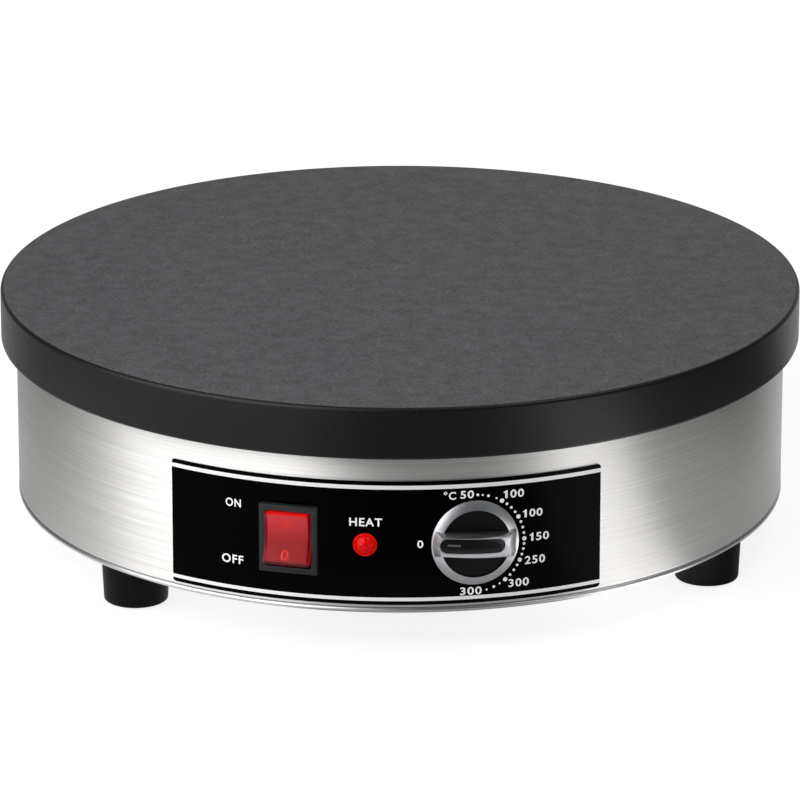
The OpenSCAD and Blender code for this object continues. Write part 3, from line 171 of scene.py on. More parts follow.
def clean(obj: bpy.types.Object, merge: float = 1e-6) -> bpy.types.Object:
    """Merges doubled points, deletes loose ones and turns all faces outwards.

    Args:
        obj: the piece.
        merge: how close points are merged, in metres.

    Returns:
        The piece.
    """
    activate(obj)
    bpy.ops.object.mode_set(mode="EDIT")
    bpy.ops.mesh.select_all(action="SELECT")
    bpy.ops.mesh.remove_doubles(threshold=merge)
    bpy.ops.mesh.delete_loose()
    bpy.ops.mesh.select_all(action="SELECT")
    bpy.ops.mesh.normals_make_consistent(inside=False)
    bpy.ops.object.mode_set(mode="OBJECT")
    return obj


def cap_ends(obj: bpy.types.Object) -> None:
    """Closes every open boundary of a piece with a face.

    Args:
        obj: the piece.
    """
    activate(obj)
    bpy.ops.object.mode_set(mode="EDIT")
    bpy.ops.mesh.select_all(action="DESELECT")
    bpy.ops.mesh.select_mode(type="EDGE")
    bpy.ops.mesh.select_non_manifold(extend=False, use_wire=False, use_multi_face=False,
                                     use_non_contiguous=False, use_verts=False)
    bpy.ops.mesh.edge_face_add()
    bpy.ops.mesh.select_mode(type="VERT")
    bpy.ops.mesh.select_all(action="SELECT")
    bpy.ops.mesh.normals_make_consistent(inside=False)
    bpy.ops.object.mode_set(mode="OBJECT")


def smooth(obj: bpy.types.Object, degrees: float) -> bpy.types.Object:
    """Shades a piece smooth, with edges sharper than the angle kept crisp.

    Args:
        obj: the piece.
        degrees: the angle.

    Returns:
        The piece.
    """
    activate(obj)
    bpy.ops.object.shade_smooth_by_angle(angle=math.radians(degrees))
    return obj


def apply_modifier(obj: bpy.types.Object, kind: str, **settings: object) -> bpy.types.Object:
    """Adds a modifier, sets it and applies it.

    Args:
        obj: the piece.
        kind: the modifier's type, such as BEVEL.
        **settings: its properties by name.

    Returns:
        The piece.
    """
    modifier = obj.modifiers.new(kind.lower(), kind)
    for key, value in settings.items():
        setattr(modifier, key, value)
    activate(obj)
    bpy.ops.object.modifier_apply(modifier=modifier.name)
    return obj


def cut(obj: bpy.types.Object, cutter: bpy.types.Object, how: Cut = Cut.AWAY) -> bpy.types.Object:
    """Cuts a piece with another, or joins or intersects them, and deletes the cutter.

    Args:
        obj: the piece.
        cutter: the other shape.
        how: what the other shape does to the piece.

    Returns:
        The piece.
    """
    apply_modifier(obj, "BOOLEAN", operation=how.value, object=cutter, solver="EXACT")
    bpy.data.objects.remove(cutter)
    return obj


def soften(obj: bpy.types.Object, width: float, segments: int, degrees: float) -> bpy.types.Object:
    """Rounds every edge that is sharper than the angle.

    Args:
        obj: the piece.
        width: how wide the rounding is, in millimetres.
        segments: how many faces it has across.
        degrees: the angle.

    Returns:
        The piece.
    """
    return apply_modifier(
        obj, "BEVEL", width=width * MM, segments=segments, limit_method="ANGLE",
        angle_limit=math.radians(degrees), use_clamp_overlap=True, miter_outer="MITER_ARC",
    )


def join(pieces: list[bpy.types.Object], name: str) -> bpy.types.Object:
    """Joins several pieces into one.

    Args:
        pieces: the pieces, the first of which takes in the others.
        name: the joined piece's name.

    Returns:
        The joined piece.
    """
    deselect()
    for piece in pieces:
        piece.select_set(True)
    bpy.context.view_layer.objects.active = pieces[0]
    bpy.ops.object.join()
    return name_piece(bpy.context.object, name)


def trace(points: list[Vector]) -> bpy.types.Object:
    """Draws an open line through points, from a plane that is merged to one point.

    Args:
        points: where the line goes, in metres.

    Returns:
        The line, in edit mode.
    """
    deselect()
    bpy.ops.mesh.primitive_plane_add(size=MM, location=(0, 0, 0))
    obj = bpy.context.object
    bpy.ops.object.mode_set(mode="EDIT")
    bpy.ops.mesh.select_all(action="SELECT")
    bpy.ops.mesh.merge(type="CENTER")
    bpy.ops.transform.translate(value=points[0])
    for last, point in zip(points, points[1:]):
        bpy.ops.mesh.extrude_region_move(TRANSFORM_OT_translate={"value": point - last})
    return obj


def fill(points: list[Vector]) -> bpy.types.Object:
    """Draws a closed outline and fills it with one face.

    Args:
        points: the outline's corners, in metres.

    Returns:
        The face, in edit mode and selected.
    """
    obj = trace(points)
    bpy.ops.mesh.select_all(action="SELECT")
    bpy.ops.mesh.edge_face_add()
    return obj


def lathe(name: str, profile: list[Point], steps: int, sweep: float = 360.0,
          start: float = 0.0) -> bpy.types.Object:
    """Spins a closed profile about the Z axis.

    Args:
        name: the piece's name.
        profile: points as (radius, height), in millimetres.
        steps: how many stretches the turn has.
        sweep: the turn in degrees, clockwise seen from above.
        start: where the turn starts, in degrees from +X.

    Returns:
        The turned piece.
    """
    turn = turned(start)
    line = [turn @ Vector((r * MM, 0, z * MM)) for r, z in profile]
    obj = trace(line + [line[0]])
    bpy.ops.mesh.select_all(action="SELECT")
    bpy.ops.mesh.spin(steps=steps, angle=math.radians(sweep), center=(0, 0, 0), axis=(0, 0, 1))
    bpy.ops.object.mode_set(mode="OBJECT")
    return name_piece(clean(obj), name)


def rod(name: str, radius: float, low: float, high: float, steps: int) -> bpy.types.Object:
    """A round rod on the Z axis, from one height to another."""
    return lathe(name, [(0, low), (radius, low), (radius, high), (0, high)], steps)


def prism(name: str, outline: list[Point], bottom: float, top: float) -> bpy.types.Object:
    """Extrudes a closed outline.

    Args:
        name: the piece's name.
        outline: points as (x, y), in millimetres.
        bottom: the height that it starts from.
        top: the height that it ends at.

    Returns:
        The piece.
    """
    obj = fill([Vector((x * MM, y * MM, bottom * MM)) for x, y in outline])
    bpy.ops.mesh.extrude_region_move(TRANSFORM_OT_translate={"value": Vector((0, 0, (top - bottom) * MM))})
    bpy.ops.object.mode_set(mode="OBJECT")
    return name_piece(clean(obj), name)


def block(name: str, low: tuple[float, float, float], high: tuple[float, float, float]) -> bpy.types.Object:
    """A block between two corners, in millimetres."""
    outline = [(low[0], low[1]), (high[0], low[1]), (high[0], high[1]), (low[0], high[1])]
    return prism(name, outline, low[2], high[2])


def arc(centre: Point, radius: float, start: float, end: float, steps: int = 8) -> list[Point]:
    """Points of an arc, from one angle to another in degrees, both ends included."""
    angles = [math.radians(start + (end - start) * k / steps) for k in range(steps + 1)]
    return [(centre[0] + radius * math.cos(a), centre[1] + radius * math.sin(a)) for a in angles]


def stadium(length: float, width: float, steps: int) -> list[Point]:
    """The outline of a bar with round ends along x."""
    half = (length - width) / 2
    return arc((half, 0), width / 2, -90, 90, steps) + arc((-half, 0), width / 2, 90, 270, steps)


def rounded_box(half: float, low: float, high: float, radius: float, steps: int) -> list[Point]:
    """The outline of an upright box with round corners.

    Args:
        half: half its width.
        low: its lower edge.
        high: its upper edge.
        radius: its corners' radius.
        steps: how many stretches a corner has.

    Returns:
        Its points, from the lower right corner round.
    """
    x, y_low, y_high = half - radius, low + radius, high - radius
    return (arc((x, y_low), radius, -90, 0, steps) + arc((x, y_high), radius, 0, 90, steps)
            + arc((-x, y_high), radius, 90, 180, steps) + arc((-x, y_low), radius, 180, 270, steps))


def bow_radius(half: float, rise: float) -> float:
    """Radius of a bow that rises so much over half its chord."""
    return (half ** 2 + rise ** 2) / (2 * rise)


def sag(radius: float, x: float) -> float:
    """How far a cylinder falls back at a distance x from its foremost line."""
    return radius - math.sqrt(radius * radius - x * x)


def wall_place(angle: float, height: float, depth: float = 0.0) -> Matrix:
    """The frame at the drum's face, x along it, y inwards and z up; depth is inwards from the face."""
    return turned(angle) @ moved(0, depth - Drum.outer_r, height)


def out_of_wall(angle: float, height: float, depth: float = 0.0, roll: float = 0.0) -> Matrix:
    """The frame of a knob on the wall: x right, y up, z outwards, rolled by degrees about z."""
    return wall_place(angle, height, depth) @ turned(90, "X") @ turned(roll)


def bearing(azimuth: float, elevation: float) -> Vector:
    """The direction from the object by degrees to the right of its front and above level."""
    a, e = math.radians(azimuth), math.radians(elevation)
    return Vector((math.sin(a) * math.cos(e), -math.cos(a) * math.cos(e), math.sin(e)))


def stand_off(obj: bpy.types.Object, target: Vector, out: Vector, distance: float) -> None:
    """Adds a lamp or camera to the scene, off a target and turned to it.

    Args:
        obj: the lamp or camera.
        target: the point that it looks at.
        out: the direction in which it stands.
        distance: how far off it stands, in metres.
    """
    bpy.context.scene.collection.objects.link(obj)
    obj.location = target + out * distance
    obj.rotation_mode = "QUATERNION"
    obj.rotation_quaternion = (-out).to_track_quat("-Z", "Y")


def hand_over(obj: bpy.types.Object, node: str | None,
              body: Body = Body.COOKER) -> bpy.types.Object:
    """Says what a finished piece stands for.

    Args:
        obj: the piece.
        node: the CAD node that it replaces, or None where it stands for none.
        body: the body that it moves with.

    Returns:
        The piece.
    """
    if node:
        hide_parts(node)
    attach(obj, body.value)
    return obj


# --------------------------------------------------------------------------- materials


def add_node(
    tree: bpy.types.NodeTree, kind: str, settings: dict[str | int, object] | None = None,
    links: dict[str | int, bpy.types.NodeSocket] | None = None,
) -> bpy.types.Node:
    """Adds a node with its settings and links.

    Args:
        tree: the node tree.
        kind: the node's type, such as ShaderNodeTexNoise.
        settings: values by the name of a property, or of an input where there is no such property.
        links: the sockets that feed the inputs, by the input's name or number.

    Returns:
        The node.
    """
    node = tree.nodes.new(kind)
    for key, value in (settings or {}).items():
        if isinstance(key, str) and hasattr(node, key):
            setattr(node, key, value)
        else:
            node.inputs[key].default_value = value
    for key, socket in (links or {}).items():
        tree.links.new(socket, node.inputs[key])
    return node


@dataclass(frozen=True)
class Finish:
    """What all finishes share: a name, a colour and how rough and metallic the surface is."""

    name: str
    colour: str
    roughness: float = 0.5
    metallic: float = 0.0
    ior: float = 1.5
    coat: float = 0.0
    coat_roughness: float = 0.1
    transmission: float = 0.0
    glow: float = 0.0
    glow_colour: str = "000000"
    anisotropic: float = 0.0
    brush_turn: float = 0.0
    specular: float = 0.5

    def shader(self) -> tuple[bpy.types.Material, bpy.types.NodeTree, bpy.types.Node]:
        """Starts the material.

        Returns:
            The material, its node tree and its Principled shader.
        """
        material = bpy.data.materials.new(self.name)
        material.use_nodes = True
        tree = material.node_tree
        tree.nodes.clear()
        shader = add_node(tree, "ShaderNodeBsdfPrincipled", {
            "Base Color": linear(self.colour), "Roughness": self.roughness, "Metallic": self.metallic,
            "Coat Weight": self.coat, "Coat Roughness": self.coat_roughness,
            "Transmission Weight": self.transmission, "Specular IOR Level": self.specular,
            "Anisotropic": self.anisotropic, "Anisotropic Rotation": self.brush_turn,
        })
        if self.metallic < 0.5:
            shader.inputs["IOR"].default_value = self.ior
        if self.glow > 0:
            shader.inputs["Emission Color"].default_value = linear(self.glow_colour)
            shader.inputs["Emission Strength"].default_value = self.glow
        add_node(tree, "ShaderNodeOutputMaterial", {}, {"Surface": shader.outputs[0]})
        return material, tree, shader

    def place(self, tree: bpy.types.NodeTree, stretch: tuple[float, float, float] = (1, 1, 1),
              turn: float = 0.0) -> bpy.types.NodeSocket:
        """Object coordinates, turned about Z and then stretched.

        Args:
            tree: the node tree.
            stretch: the factor along each axis.
            turn: the turn in degrees.

        Returns:
            The vector's socket.
        """
        where = add_node(tree, "ShaderNodeTexCoord").outputs["Object"]
        if turn:
            where = add_node(tree, "ShaderNodeMapping", {"Rotation": (0, 0, math.radians(turn))},
                             {"Vector": where}).outputs[0]
        return add_node(tree, "ShaderNodeMapping", {"Scale": stretch}, {"Vector": where}).outputs[0]

    def grain(self, tree: bpy.types.NodeTree, size: float, detail: float = 2.0,
              stretch: tuple[float, float, float] = (1, 1, 1)) -> bpy.types.NodeSocket:
        """Noise whose grains measure size millimetres."""
        return add_node(tree, "ShaderNodeTexNoise", {"Scale": 1 / (size * MM), "Detail": detail},
                        {"Vector": self.place(tree, stretch)}).outputs["Fac"]

    def spread(self, tree: bpy.types.NodeTree, value: bpy.types.NodeSocket, low: float = 0.0,
               high: float = 1.0) -> bpy.types.NodeSocket:
        """Maps a value from 0.3..0.7, where noise lives, to low..high."""
        span = {"From Min": 0.3, "From Max": 0.7, "To Min": low, "To Max": high}
        return add_node(tree, "ShaderNodeMapRange", span, {"Value": value}).outputs[0]

    def tint(self, tree: bpy.types.NodeTree, value: bpy.types.NodeSocket, dark: str,
             light: str) -> bpy.types.NodeSocket:
        """Blends two colours.

        Args:
            tree: the node tree.
            value: 0 for the first colour, 1 for the second.
            dark: the first colour.
            light: the second colour.

        Returns:
            The colour's socket.
        """
        ramp = add_node(tree, "ShaderNodeValToRGB", {}, {"Fac": value})
        ramp.color_ramp.elements[0].color = linear(dark)
        ramp.color_ramp.elements[1].color = linear(light)
        return ramp.outputs["Color"]

    def paint(self, tree: bpy.types.NodeTree, shader: bpy.types.Node, value: bpy.types.NodeSocket,
              dark: str, light: str) -> None:
        """Colours the surface between two tones by a value of 0..1."""
        tree.links.new(self.tint(tree, value, dark, light), shader.inputs["Base Color"])

    def waver(self, tree: bpy.types.NodeTree, shader: bpy.types.Node, value: bpy.types.NodeSocket,
              by: float) -> None:
        """Lets noise take the roughness so far up and down."""
        uneven = self.spread(tree, value, self.roughness - by, self.roughness + by)
        tree.links.new(uneven, shader.inputs["Roughness"])

    def bump(self, tree: bpy.types.NodeTree, shader: bpy.types.Node, height: bpy.types.NodeSocket,
             depth: float, strength: float) -> None:
        """Feeds a height to the shader's normal.

        Args:
            tree: the node tree.
            shader: the Principled shader.
            height: the height's socket, 0 to 1.
            depth: how deep the relief is at most, in millimetres.
            strength: how strongly it shows.
        """
        node = add_node(tree, "ShaderNodeBump", {"Strength": strength, "Distance": depth * MM},
                        {"Height": height})
        tree.links.new(node.outputs[0], shader.inputs["Normal"])

    def make(self) -> bpy.types.Material:
        """The plain finish with a faint unevenness, as every made surface has.

        Returns:
            The material.
        """
        material, tree, shader = self.shader()
        self.waver(tree, shader, self.grain(tree, 1.2, 3.0), self.roughness * 0.15)
        return material


@dataclass(frozen=True)
class SeasonedIron(Finish):
    """Seasoned cast iron: a salt-and-pepper tooth where it is ground, smoother and blacker round the rim."""

    # Real grit is 0.2 to 0.5 mm across; it is drawn coarser, so that it shows.
    grit: float = 1.8
    cloud: float = 8.0
    cloudiness: float = 0.25
    tooth: float = 0.08
    dark: str = "1c1d1f"
    light: str = "5a5b5d"

    def make(self) -> bpy.types.Material:
        """Mixes fine speckle with broad clouds, and lets the tooth catch the light.

        Returns:
            The material.
        """
        material, tree, shader = self.shader()
        fine = self.grain(tree, self.grit, 4.0)
        mixed = add_node(tree, "ShaderNodeMix", {"data_type": "FLOAT", "Factor": self.cloudiness},
                         {2: fine, 3: self.grain(tree, self.cloud)}).outputs[0]
        self.paint(tree, shader, self.spread(tree, mixed), self.dark, self.light)
        self.waver(tree, shader, fine, 0.08)
        self.bump(tree, shader, fine, self.tooth, 0.5)
        return material


@dataclass(frozen=True)
class BrushedSteel(Finish):
    """Stainless sheet brushed round the drum: long level scratches that spread the light up and down."""

    # Real scratches are some 0.05 mm wide; they are drawn as bundles that show.
    line: float = 0.8
    length: float = 90.0
    dark: str = "d1d0ce"
    light: str = "e9e8e6"
    scratch: float = 0.004

    def make(self) -> bpy.types.Material:
        """Streaks are noise stretched along the wall; they tint the steel and shift its roughness.

        Returns:
            The material.
        """
        material, tree, shader = self.shader()
        fine = self.grain(tree, self.line, 3.0, (self.line / self.length, self.line / self.length, 1))
        self.paint(tree, shader, self.spread(tree, fine), self.dark, self.light)
        self.waver(tree, shader, fine, 0.04)
        tangent = add_node(tree, "ShaderNodeTangent", {"direction_type": "RADIAL", "axis": "Z"})
        tree.links.new(tangent.outputs[0], shader.inputs["Tangent"])
        self.bump(tree, shader, fine, self.scratch, 0.3)
        return material


@dataclass(frozen=True)
class MouldedRubber(Finish):
    """Black moulded rubber: dull, with a fine pebble."""

    pebble: float = 0.6

    def make(self) -> bpy.types.Material:
        """A shallow pebble breaks the sheen into a soft grey.

        Returns:
            The material.
        """
        material, tree, shader = self.shader()
        fine = self.grain(tree, self.pebble, 3.0)
        self.waver(tree, shader, fine, 0.1)
        self.bump(tree, shader, fine, 0.04, 0.4)
        return material


@dataclass(frozen=True)
class MouldedPlastic(Finish):
    """Injection moulded plastic, ABS or polyamide: satin, with the tool's fine spark texture."""

    texture: float = 0.35
    texture_depth: float = 0.01
    flow: float = 14.0

    def make(self) -> bpy.types.Material:
        """The spark texture gives a fine even sheen with no sparkle.

        Returns:
            The material.
        """
        material, tree, shader = self.shader()
        self.waver(tree, shader, self.grain(tree, self.flow), 0.04)
        self.bump(tree, shader, self.grain(tree, self.texture), self.texture_depth, 0.5)
        return material


@dataclass(frozen=True)
class RibbedLens(Finish):
    """Red acrylic with fine upright ribs on its face, lit by a neon lamp from behind."""

    turn: float = 0.0
    # Real ribs are 0.5 mm apart; they are drawn at twice that, so that they show.
    pitch: float = 1.0
    streak: float = 0.8
    # From this height up, over the reach, the face is painted brighter, in millimetres: painted light.
    middle: float = 55.0
    reach: float = 11.0
    dark: str = "34050a"
    light: str = "9c171d"
    bright: str = "a8282d"

    def make(self) -> bpy.types.Material:
        """Ribs are bands across the switch; towards the top the colour and the glow are painted brighter,
        which is painted light.

        Returns:
            The material.
        """
        material, tree, shader = self.shader()
        place = self.place(tree, turn=-self.turn)
        # A band texture of scale 1 repeats every 0.314 metres.
        bands = add_node(tree, "ShaderNodeTexWave", {
            "wave_type": "BANDS", "bands_direction": "X", "wave_profile": "SIN",
            "Scale": 0.314 / (self.pitch * MM), "Distortion": 0.0, "Detail": 0.0,
        }, {"Vector": place}).outputs["Fac"]
        streak = self.grain(tree, self.streak, 2.0, (1, 1, 0.08))
        mixed = add_node(tree, "ShaderNodeMix", {"data_type": "FLOAT", "Factor": 0.5},
                         {2: bands, 3: streak}).outputs[0]
        ribs = self.tint(tree, self.spread(tree, mixed), self.dark, self.light)
        height = add_node(tree, "ShaderNodeSeparateXYZ", {}, {"Vector": place}).outputs["Z"]
        # Painted light: from about the middle of the switch up, the face is blended towards the brighter red.
        rise = add_node(tree, "ShaderNodeMapRange", {
            "From Min": self.middle * MM, "From Max": (self.middle + self.reach) * MM, "To Max": 0.75,
        }, {"Value": height}).outputs[0]
        colour = add_node(tree, "ShaderNodeMix", {"data_type": "RGBA", 7: linear(self.bright)},
                          {0: rise, 6: ribs}).outputs[2]
        tree.links.new(colour, shader.inputs["Base Color"])
        tree.links.new(colour, shader.inputs["Emission Color"])
        self.bump(tree, shader, bands, 0.05, 0.4)
        return material


@dataclass(frozen=True)
class PrismLens(Finish):
    """Red polycarbonate with small prisms inside that break up the light of the lamp behind it."""

    prism: float = 0.7
    dark: str = "b00203"
    light: str = "ee1206"

    def make(self) -> bpy.types.Material:
        """The prisms' edges show as a fine dark net, and the lamp's light fills them.

        Returns:
            The material.
        """
        material, tree, shader = self.shader()
        cells = add_node(tree, "ShaderNodeTexVoronoi", {"Scale": 1 / (self.prism * MM)},
                         {"Vector": self.place(tree)})
        net = {"From Min": 0.1, "From Max": 0.7, "To Min": 1.0, "To Max": 0.0}
        edge = add_node(tree, "ShaderNodeMapRange", net, {"Value": cells.outputs["Distance"]}).outputs[0]
        colour = self.tint(tree, edge, self.dark, self.light)
        tree.links.new(colour, shader.inputs["Base Color"])
        tree.links.new(colour, shader.inputs["Emission Color"])
        self.bump(tree, shader, self.grain(tree, 0.8, 1.0), 0.03, 0.4)
        return material


@dataclass(frozen=True)
class TurnedTrim(Finish):
    """Metallised trim with a satin finish: the faintest marks of its turning."""

    mark: float = 1.5
    dark: str = "b4b6b9"
    light: str = "c0c2c5"

    def make(self) -> bpy.types.Material:
        """A faint unevenness in tone and roughness stands for the fine turning marks.

        Returns:
            The material.
        """
        material, tree, shader = self.shader()
        fine = self.grain(tree, self.mark, 3.0)
        self.waver(tree, shader, fine, 0.02)
        self.paint(tree, shader, self.spread(tree, fine, 0.2, 0.8), self.dark, self.light)
        return material


@dataclass(frozen=True)
class PrintedFilm(Finish):
    """Polyester overlay, reverse printed black: glossy, with hardly any texture."""

    peel: float = 9.0
    wipe: float = 30.0

    def make(self) -> bpy.types.Material:
        """A very low orange peel keeps the reflections soft.

        Returns:
            The material.
        """
        material, tree, shader = self.shader()
        self.bump(tree, shader, self.grain(tree, self.peel), 0.01, 0.25)
        self.waver(tree, shader, self.grain(tree, self.wipe), self.roughness * 0.1)
        return material


@dataclass(frozen=True)
class Fibre(Finish):
    """Needled or pressed mineral fibre: chalky, with short strands."""

    strand: float = 2.5
    dark: str = "bdb6a4"
    light: str = "e2dccb"

    def make(self) -> bpy.types.Material:
        """Strands are stretched noise; the surface has no shine.

        Returns:
            The material.
        """
        material, tree, shader = self.shader()
        strands = self.grain(tree, self.strand, 5.0, (1, 0.3, 1))
        self.paint(tree, shader, self.spread(tree, strands), self.dark, self.light)
        self.bump(tree, shader, strands, 0.6, 0.6)
        return material


@dataclass(frozen=True)
class HeatedSheath(Finish):
    """Nickel alloy sheath, blued and browned by heat in slow bands."""

    band: float = 40.0
    blue: str = "4a4a52"
    straw: str = "7d6a55"

    def make(self) -> bpy.types.Material:
        """Broad clouds of straw and blue-grey over a satin metal.

        Returns:
            The material.
        """
        material, tree, shader = self.shader()
        clouds = self.grain(tree, self.band, 3.0)
        self.paint(tree, shader, self.spread(tree, clouds), self.blue, self.straw)
        self.waver(tree, shader, self.grain(tree, 2.0), 0.1)
        return material


def dress(obj: bpy.types.Object, *finishes: Finish) -> bpy.types.Object:
    """Gives a piece its materials.

    Args:
        obj: the piece.
        *finishes: what they are made of, in the order of the faces' material numbers.

    Returns:
        The piece.
    """
    for finish in finishes:
        obj.data.materials.append(finish.make())
    return obj


# --------------------------------------------------------------------------- the plate


@dataclass
class Plate:
    """The cast iron cooking plate with its skirt and bosses."""

    outer_r: float = 200.0
    top: float = 126.0
    under: float = 113.0
    skirt_foot: float = 100.0
    skirt_in_r: float = 193.9
    skirt_edge: float = 0.4
    top_round: float = 2.2
    foot_round: float = 1.6
    ground_edge: float = 0.3
    boss_foot: float = 104.6
    boss_r: float = 7.0
    boss_edge: float = 0.6
    boss_root: float = 1.5
    hub_r: float = 10.0
    stud_places: tuple[Point, ...] = (
        (-63.64, -63.64), (63.64, -63.64), (59.246, 74.246), (-89.246, 74.246),
    )
    # Ground iron gives a dry grey with a fine speckle; the skirt is as cast, black and smoother.
    face: Finish = SeasonedIron("ground cast iron", "515254", roughness=0.55, specular=0.3)
    rim: Finish = SeasonedIron("seasoned black iron", "151515", roughness=0.36, specular=0.24, grit=1.0,
                               cloud=40.0, tooth=0.05, dark="070707", light="111111")

    def profile(self) -> list[Point]:
        """The half section.

        Returns:
            Points as (radius, height), from the underside's middle round to the top's.
        """
        top_arc = arc((self.outer_r - self.top_round, self.top - self.top_round), self.top_round, 0, 90, 10)
        foot_arc = arc((self.outer_r - self.foot_round, self.skirt_foot + self.foot_round),
                       self.foot_round, -90, 0, 8)
        under = [(r, self.under) for r in (0.0, 60.0, 120.0, self.skirt_in_r)]
        inner = [(self.skirt_in_r, self.skirt_foot + self.skirt_edge),
                 (self.skirt_in_r + self.skirt_edge, self.skirt_foot)]
        return under + inner + foot_arc + top_arc + [(r, self.top) for r in (150.0, 90.0, 30.0, 0.0)]

    def boss(self, x: float, y: float, radius: float) -> bpy.types.Object:
        """One boss that a stud screws into, with a sloped root at the plate.

        Args:
            x: its middle's x.
            y: its middle's y.
            radius: its radius.

        Returns:
            The boss.
        """
        edge, root = self.boss_edge, self.boss_root
        shape = [(0.0, self.boss_foot), (radius - edge, self.boss_foot), (radius, self.boss_foot + edge),
                 (radius, self.under - root), (radius + root, self.under), (0.0, self.under)]
        return settle(lathe("boss", shape, 32), moved(x, y))

    def build(self) -> bpy.types.Object:
        """Turns the plate, joins the bosses to it and dresses it.

        Returns:
            The plate.
        """
        parts = [lathe("plate", self.profile(), 384)]
        parts += [self.boss(x, y, self.boss_r) for x, y in self.stud_places]
        parts.append(self.boss(0, 0, self.hub_r))
        plate = dress(smooth(join(parts, "plate_casting"), 35), self.face, self.rim)
        for face in plate.data.polygons:
            ground = face.normal.z > 0.97 and face.center.z > (self.top - self.ground_edge) * MM
            face.material_index = 0 if ground else 1
        return hand_over(plate, "cooking_plate")


# --------------------------------------------------------------------------- drum and base


@dataclass
class Drum:
    """The brushed steel drum with its flanges and cut-outs."""

    outer_r: float = 192.4
    sheet: float = 0.9
    low: float = 22.6
    high: float = 110.2
    bend: float = 1.6
    low_flange: float = 11.0
    top_flange: float = 16.0
    # Brushed stainless steel gives soft upright bands of light, crossed by fine level streaks.
    steel: Finish = BrushedSteel("brushed stainless steel", "cfcfd0", roughness=0.5, metallic=1.0,
                                 anisotropic=0.9, brush_turn=0.25)

    def profile(self) -> list[Point]:
        """The wall's closed section.

        Returns:
            Points as (radius, height), outer face first.
        """
        r, t, b = self.outer_r, self.sheet, self.bend
        inner = b - t
        outer_low = arc((r - b, self.low + b), b, -90, 0, 6)
        outer_top = arc((r - b, self.high - b), b, 0, 90, 6)
        inner_top = arc((r - b, self.high - b), inner, 90, 0, 4)
        inner_low = arc((r - b, self.low + b), inner, 0, -90, 4)
        return (
            [(r - self.low_flange, self.low)] + outer_low + outer_top + [(r - self.top_flange, self.high)]
            + [(r - self.top_flange, self.high - t)] + inner_top + inner_low
            + [(r - self.low_flange, self.low + t)]
        )

    def build(self) -> bpy.types.Object:
        """Turns the drum, cuts its openings and dresses it.

        Returns:
            The drum.
        """
        drum = lathe("drum_wall", self.profile(), 384)
        for cutter in wall_cutters():
            cut(drum, cutter)
        cut(drum, wall_hole(Gland.hole_r, Gland.angle, Gland.height))
        dress(smooth(clean(drum), 30), self.steel)
        return hand_over(drum, "drum_shell")


def wall_hole(radius: float, angle: float, height: float) -> bpy.types.Object:
    """The cutter of a round hole through panel and drum."""
    return settle(rod("cutter", radius, -6, 6, 48), out_of_wall(angle, height))


def wall_cutters() -> list[bpy.types.Object]:
    """Cutters of the openings that drum and panel share.

    Returns:
        The cutters of switch, lamp and knob.
    """
    switch = Switch()
    half = switch.cutout_w / 2
    reach = switch.housing_half + 0.2
    opening = block("cutter", (-half, -6, -reach), (half, 8, reach))
    lamp = wall_hole(HeatLamp.hole_r, HeatLamp.angle, HeatLamp.height)
    hub = wall_hole(Knob.hole_r, Knob.angle, Knob.height)
    return [settle(opening, wall_place(switch.angle, switch.height)), lamp, hub]


@dataclass
class BasePan:
    """The base pan with its folded rim, vents and holes."""

    floor: float = 20.0
    sheet: float = 1.2
    rim: float = 2.6
    outer_r: float = 192.6
    rim_in_r: float = 181.4
    vent_count: int = 16
    vent_ring: float = 78.0
    vent_len: float = 30.0
    vent_w: float = 5.0
    rod_hole_r: float = 4.3
    # Bright sheet is less brushed than the drum and mirrors the counter.
    steel: Finish = BrushedSteel("bright steel sheet", "c4c5c6", roughness=0.3, metallic=1.0,
                                 anisotropic=0.5, brush_turn=0.25, dark="b4b5b7", light="cdced0")

    def profile(self) -> list[Point]:
        """The closed half section.

        Returns:
            Points as (radius, height): floor, folded rim and its round outer edge.
        """
        r, half, inside = self.outer_r, self.rim / 2, self.floor + self.sheet
        nose = arc((r - half, self.floor + half), half, -90, 90, 10)
        return (
            [(0.0, self.floor), (90.0, self.floor), (150.0, self.floor)] + nose
            + [(self.rim_in_r, self.floor + self.rim), (self.rim_in_r, inside), (150.0, inside),
               (90.0, inside), (0.0, inside)]
        )

    def build(self) -> bpy.types.Object:
        """Turns the pan, cuts vents and holes and dresses it.

        Returns:
            The pan.
        """
        pan = lathe("base_pan_sheet", self.profile(), 256)
        below, above = self.floor - 5, self.floor + 5
        vents = []
        for k in range(self.vent_count):
            slot = prism("cutter", stadium(self.vent_len, self.vent_w, 10), below, above)
            vents.append(settle(slot, turned((k + 0.5) * 360 / self.vent_count) @ moved(self.vent_ring)))
        for angle in Feet.angles:
            hole = rod("cutter", Feet.hole_r, below, above, 32)
            vents.append(settle(hole, turned(angle) @ moved(0, -Feet.ring_r)))
        vents.append(rod("cutter", self.rod_hole_r, below, above, 32))
        for angle in BaseScrews.angles:
            hole = lathe("cutter", BaseScrews().sunk_hole(self.floor), 32)
            vents.append(settle(hole, turned(angle) @ moved(0, -BaseScrews.ring_r)))
        cut(pan, join(vents, "cutter"))
        dress(smooth(clean(pan), 30), self.steel)
        return hand_over(pan, "base_pan")


@dataclass
class BaseScrews:
    """The flush screws that hold the pan to the drum: where they sit and the holes they need."""

    angles: tuple[float, ...] = (0, 35, -80, 95, 180, -150)
    ring_r: float = (181.4 + 192.4) / 2
    head_r: float = 4.8
    shank_r: float = 2.1

    def sunk_hole(self, face: float) -> list[Point]:
        """Half section of a countersunk hole that opens downwards through a face."""
        return [(0, face - 1), (self.head_r, face - 1), (self.shank_r, face + 1.7), (self.shank_r, face + 4),
                (0, face + 4)]


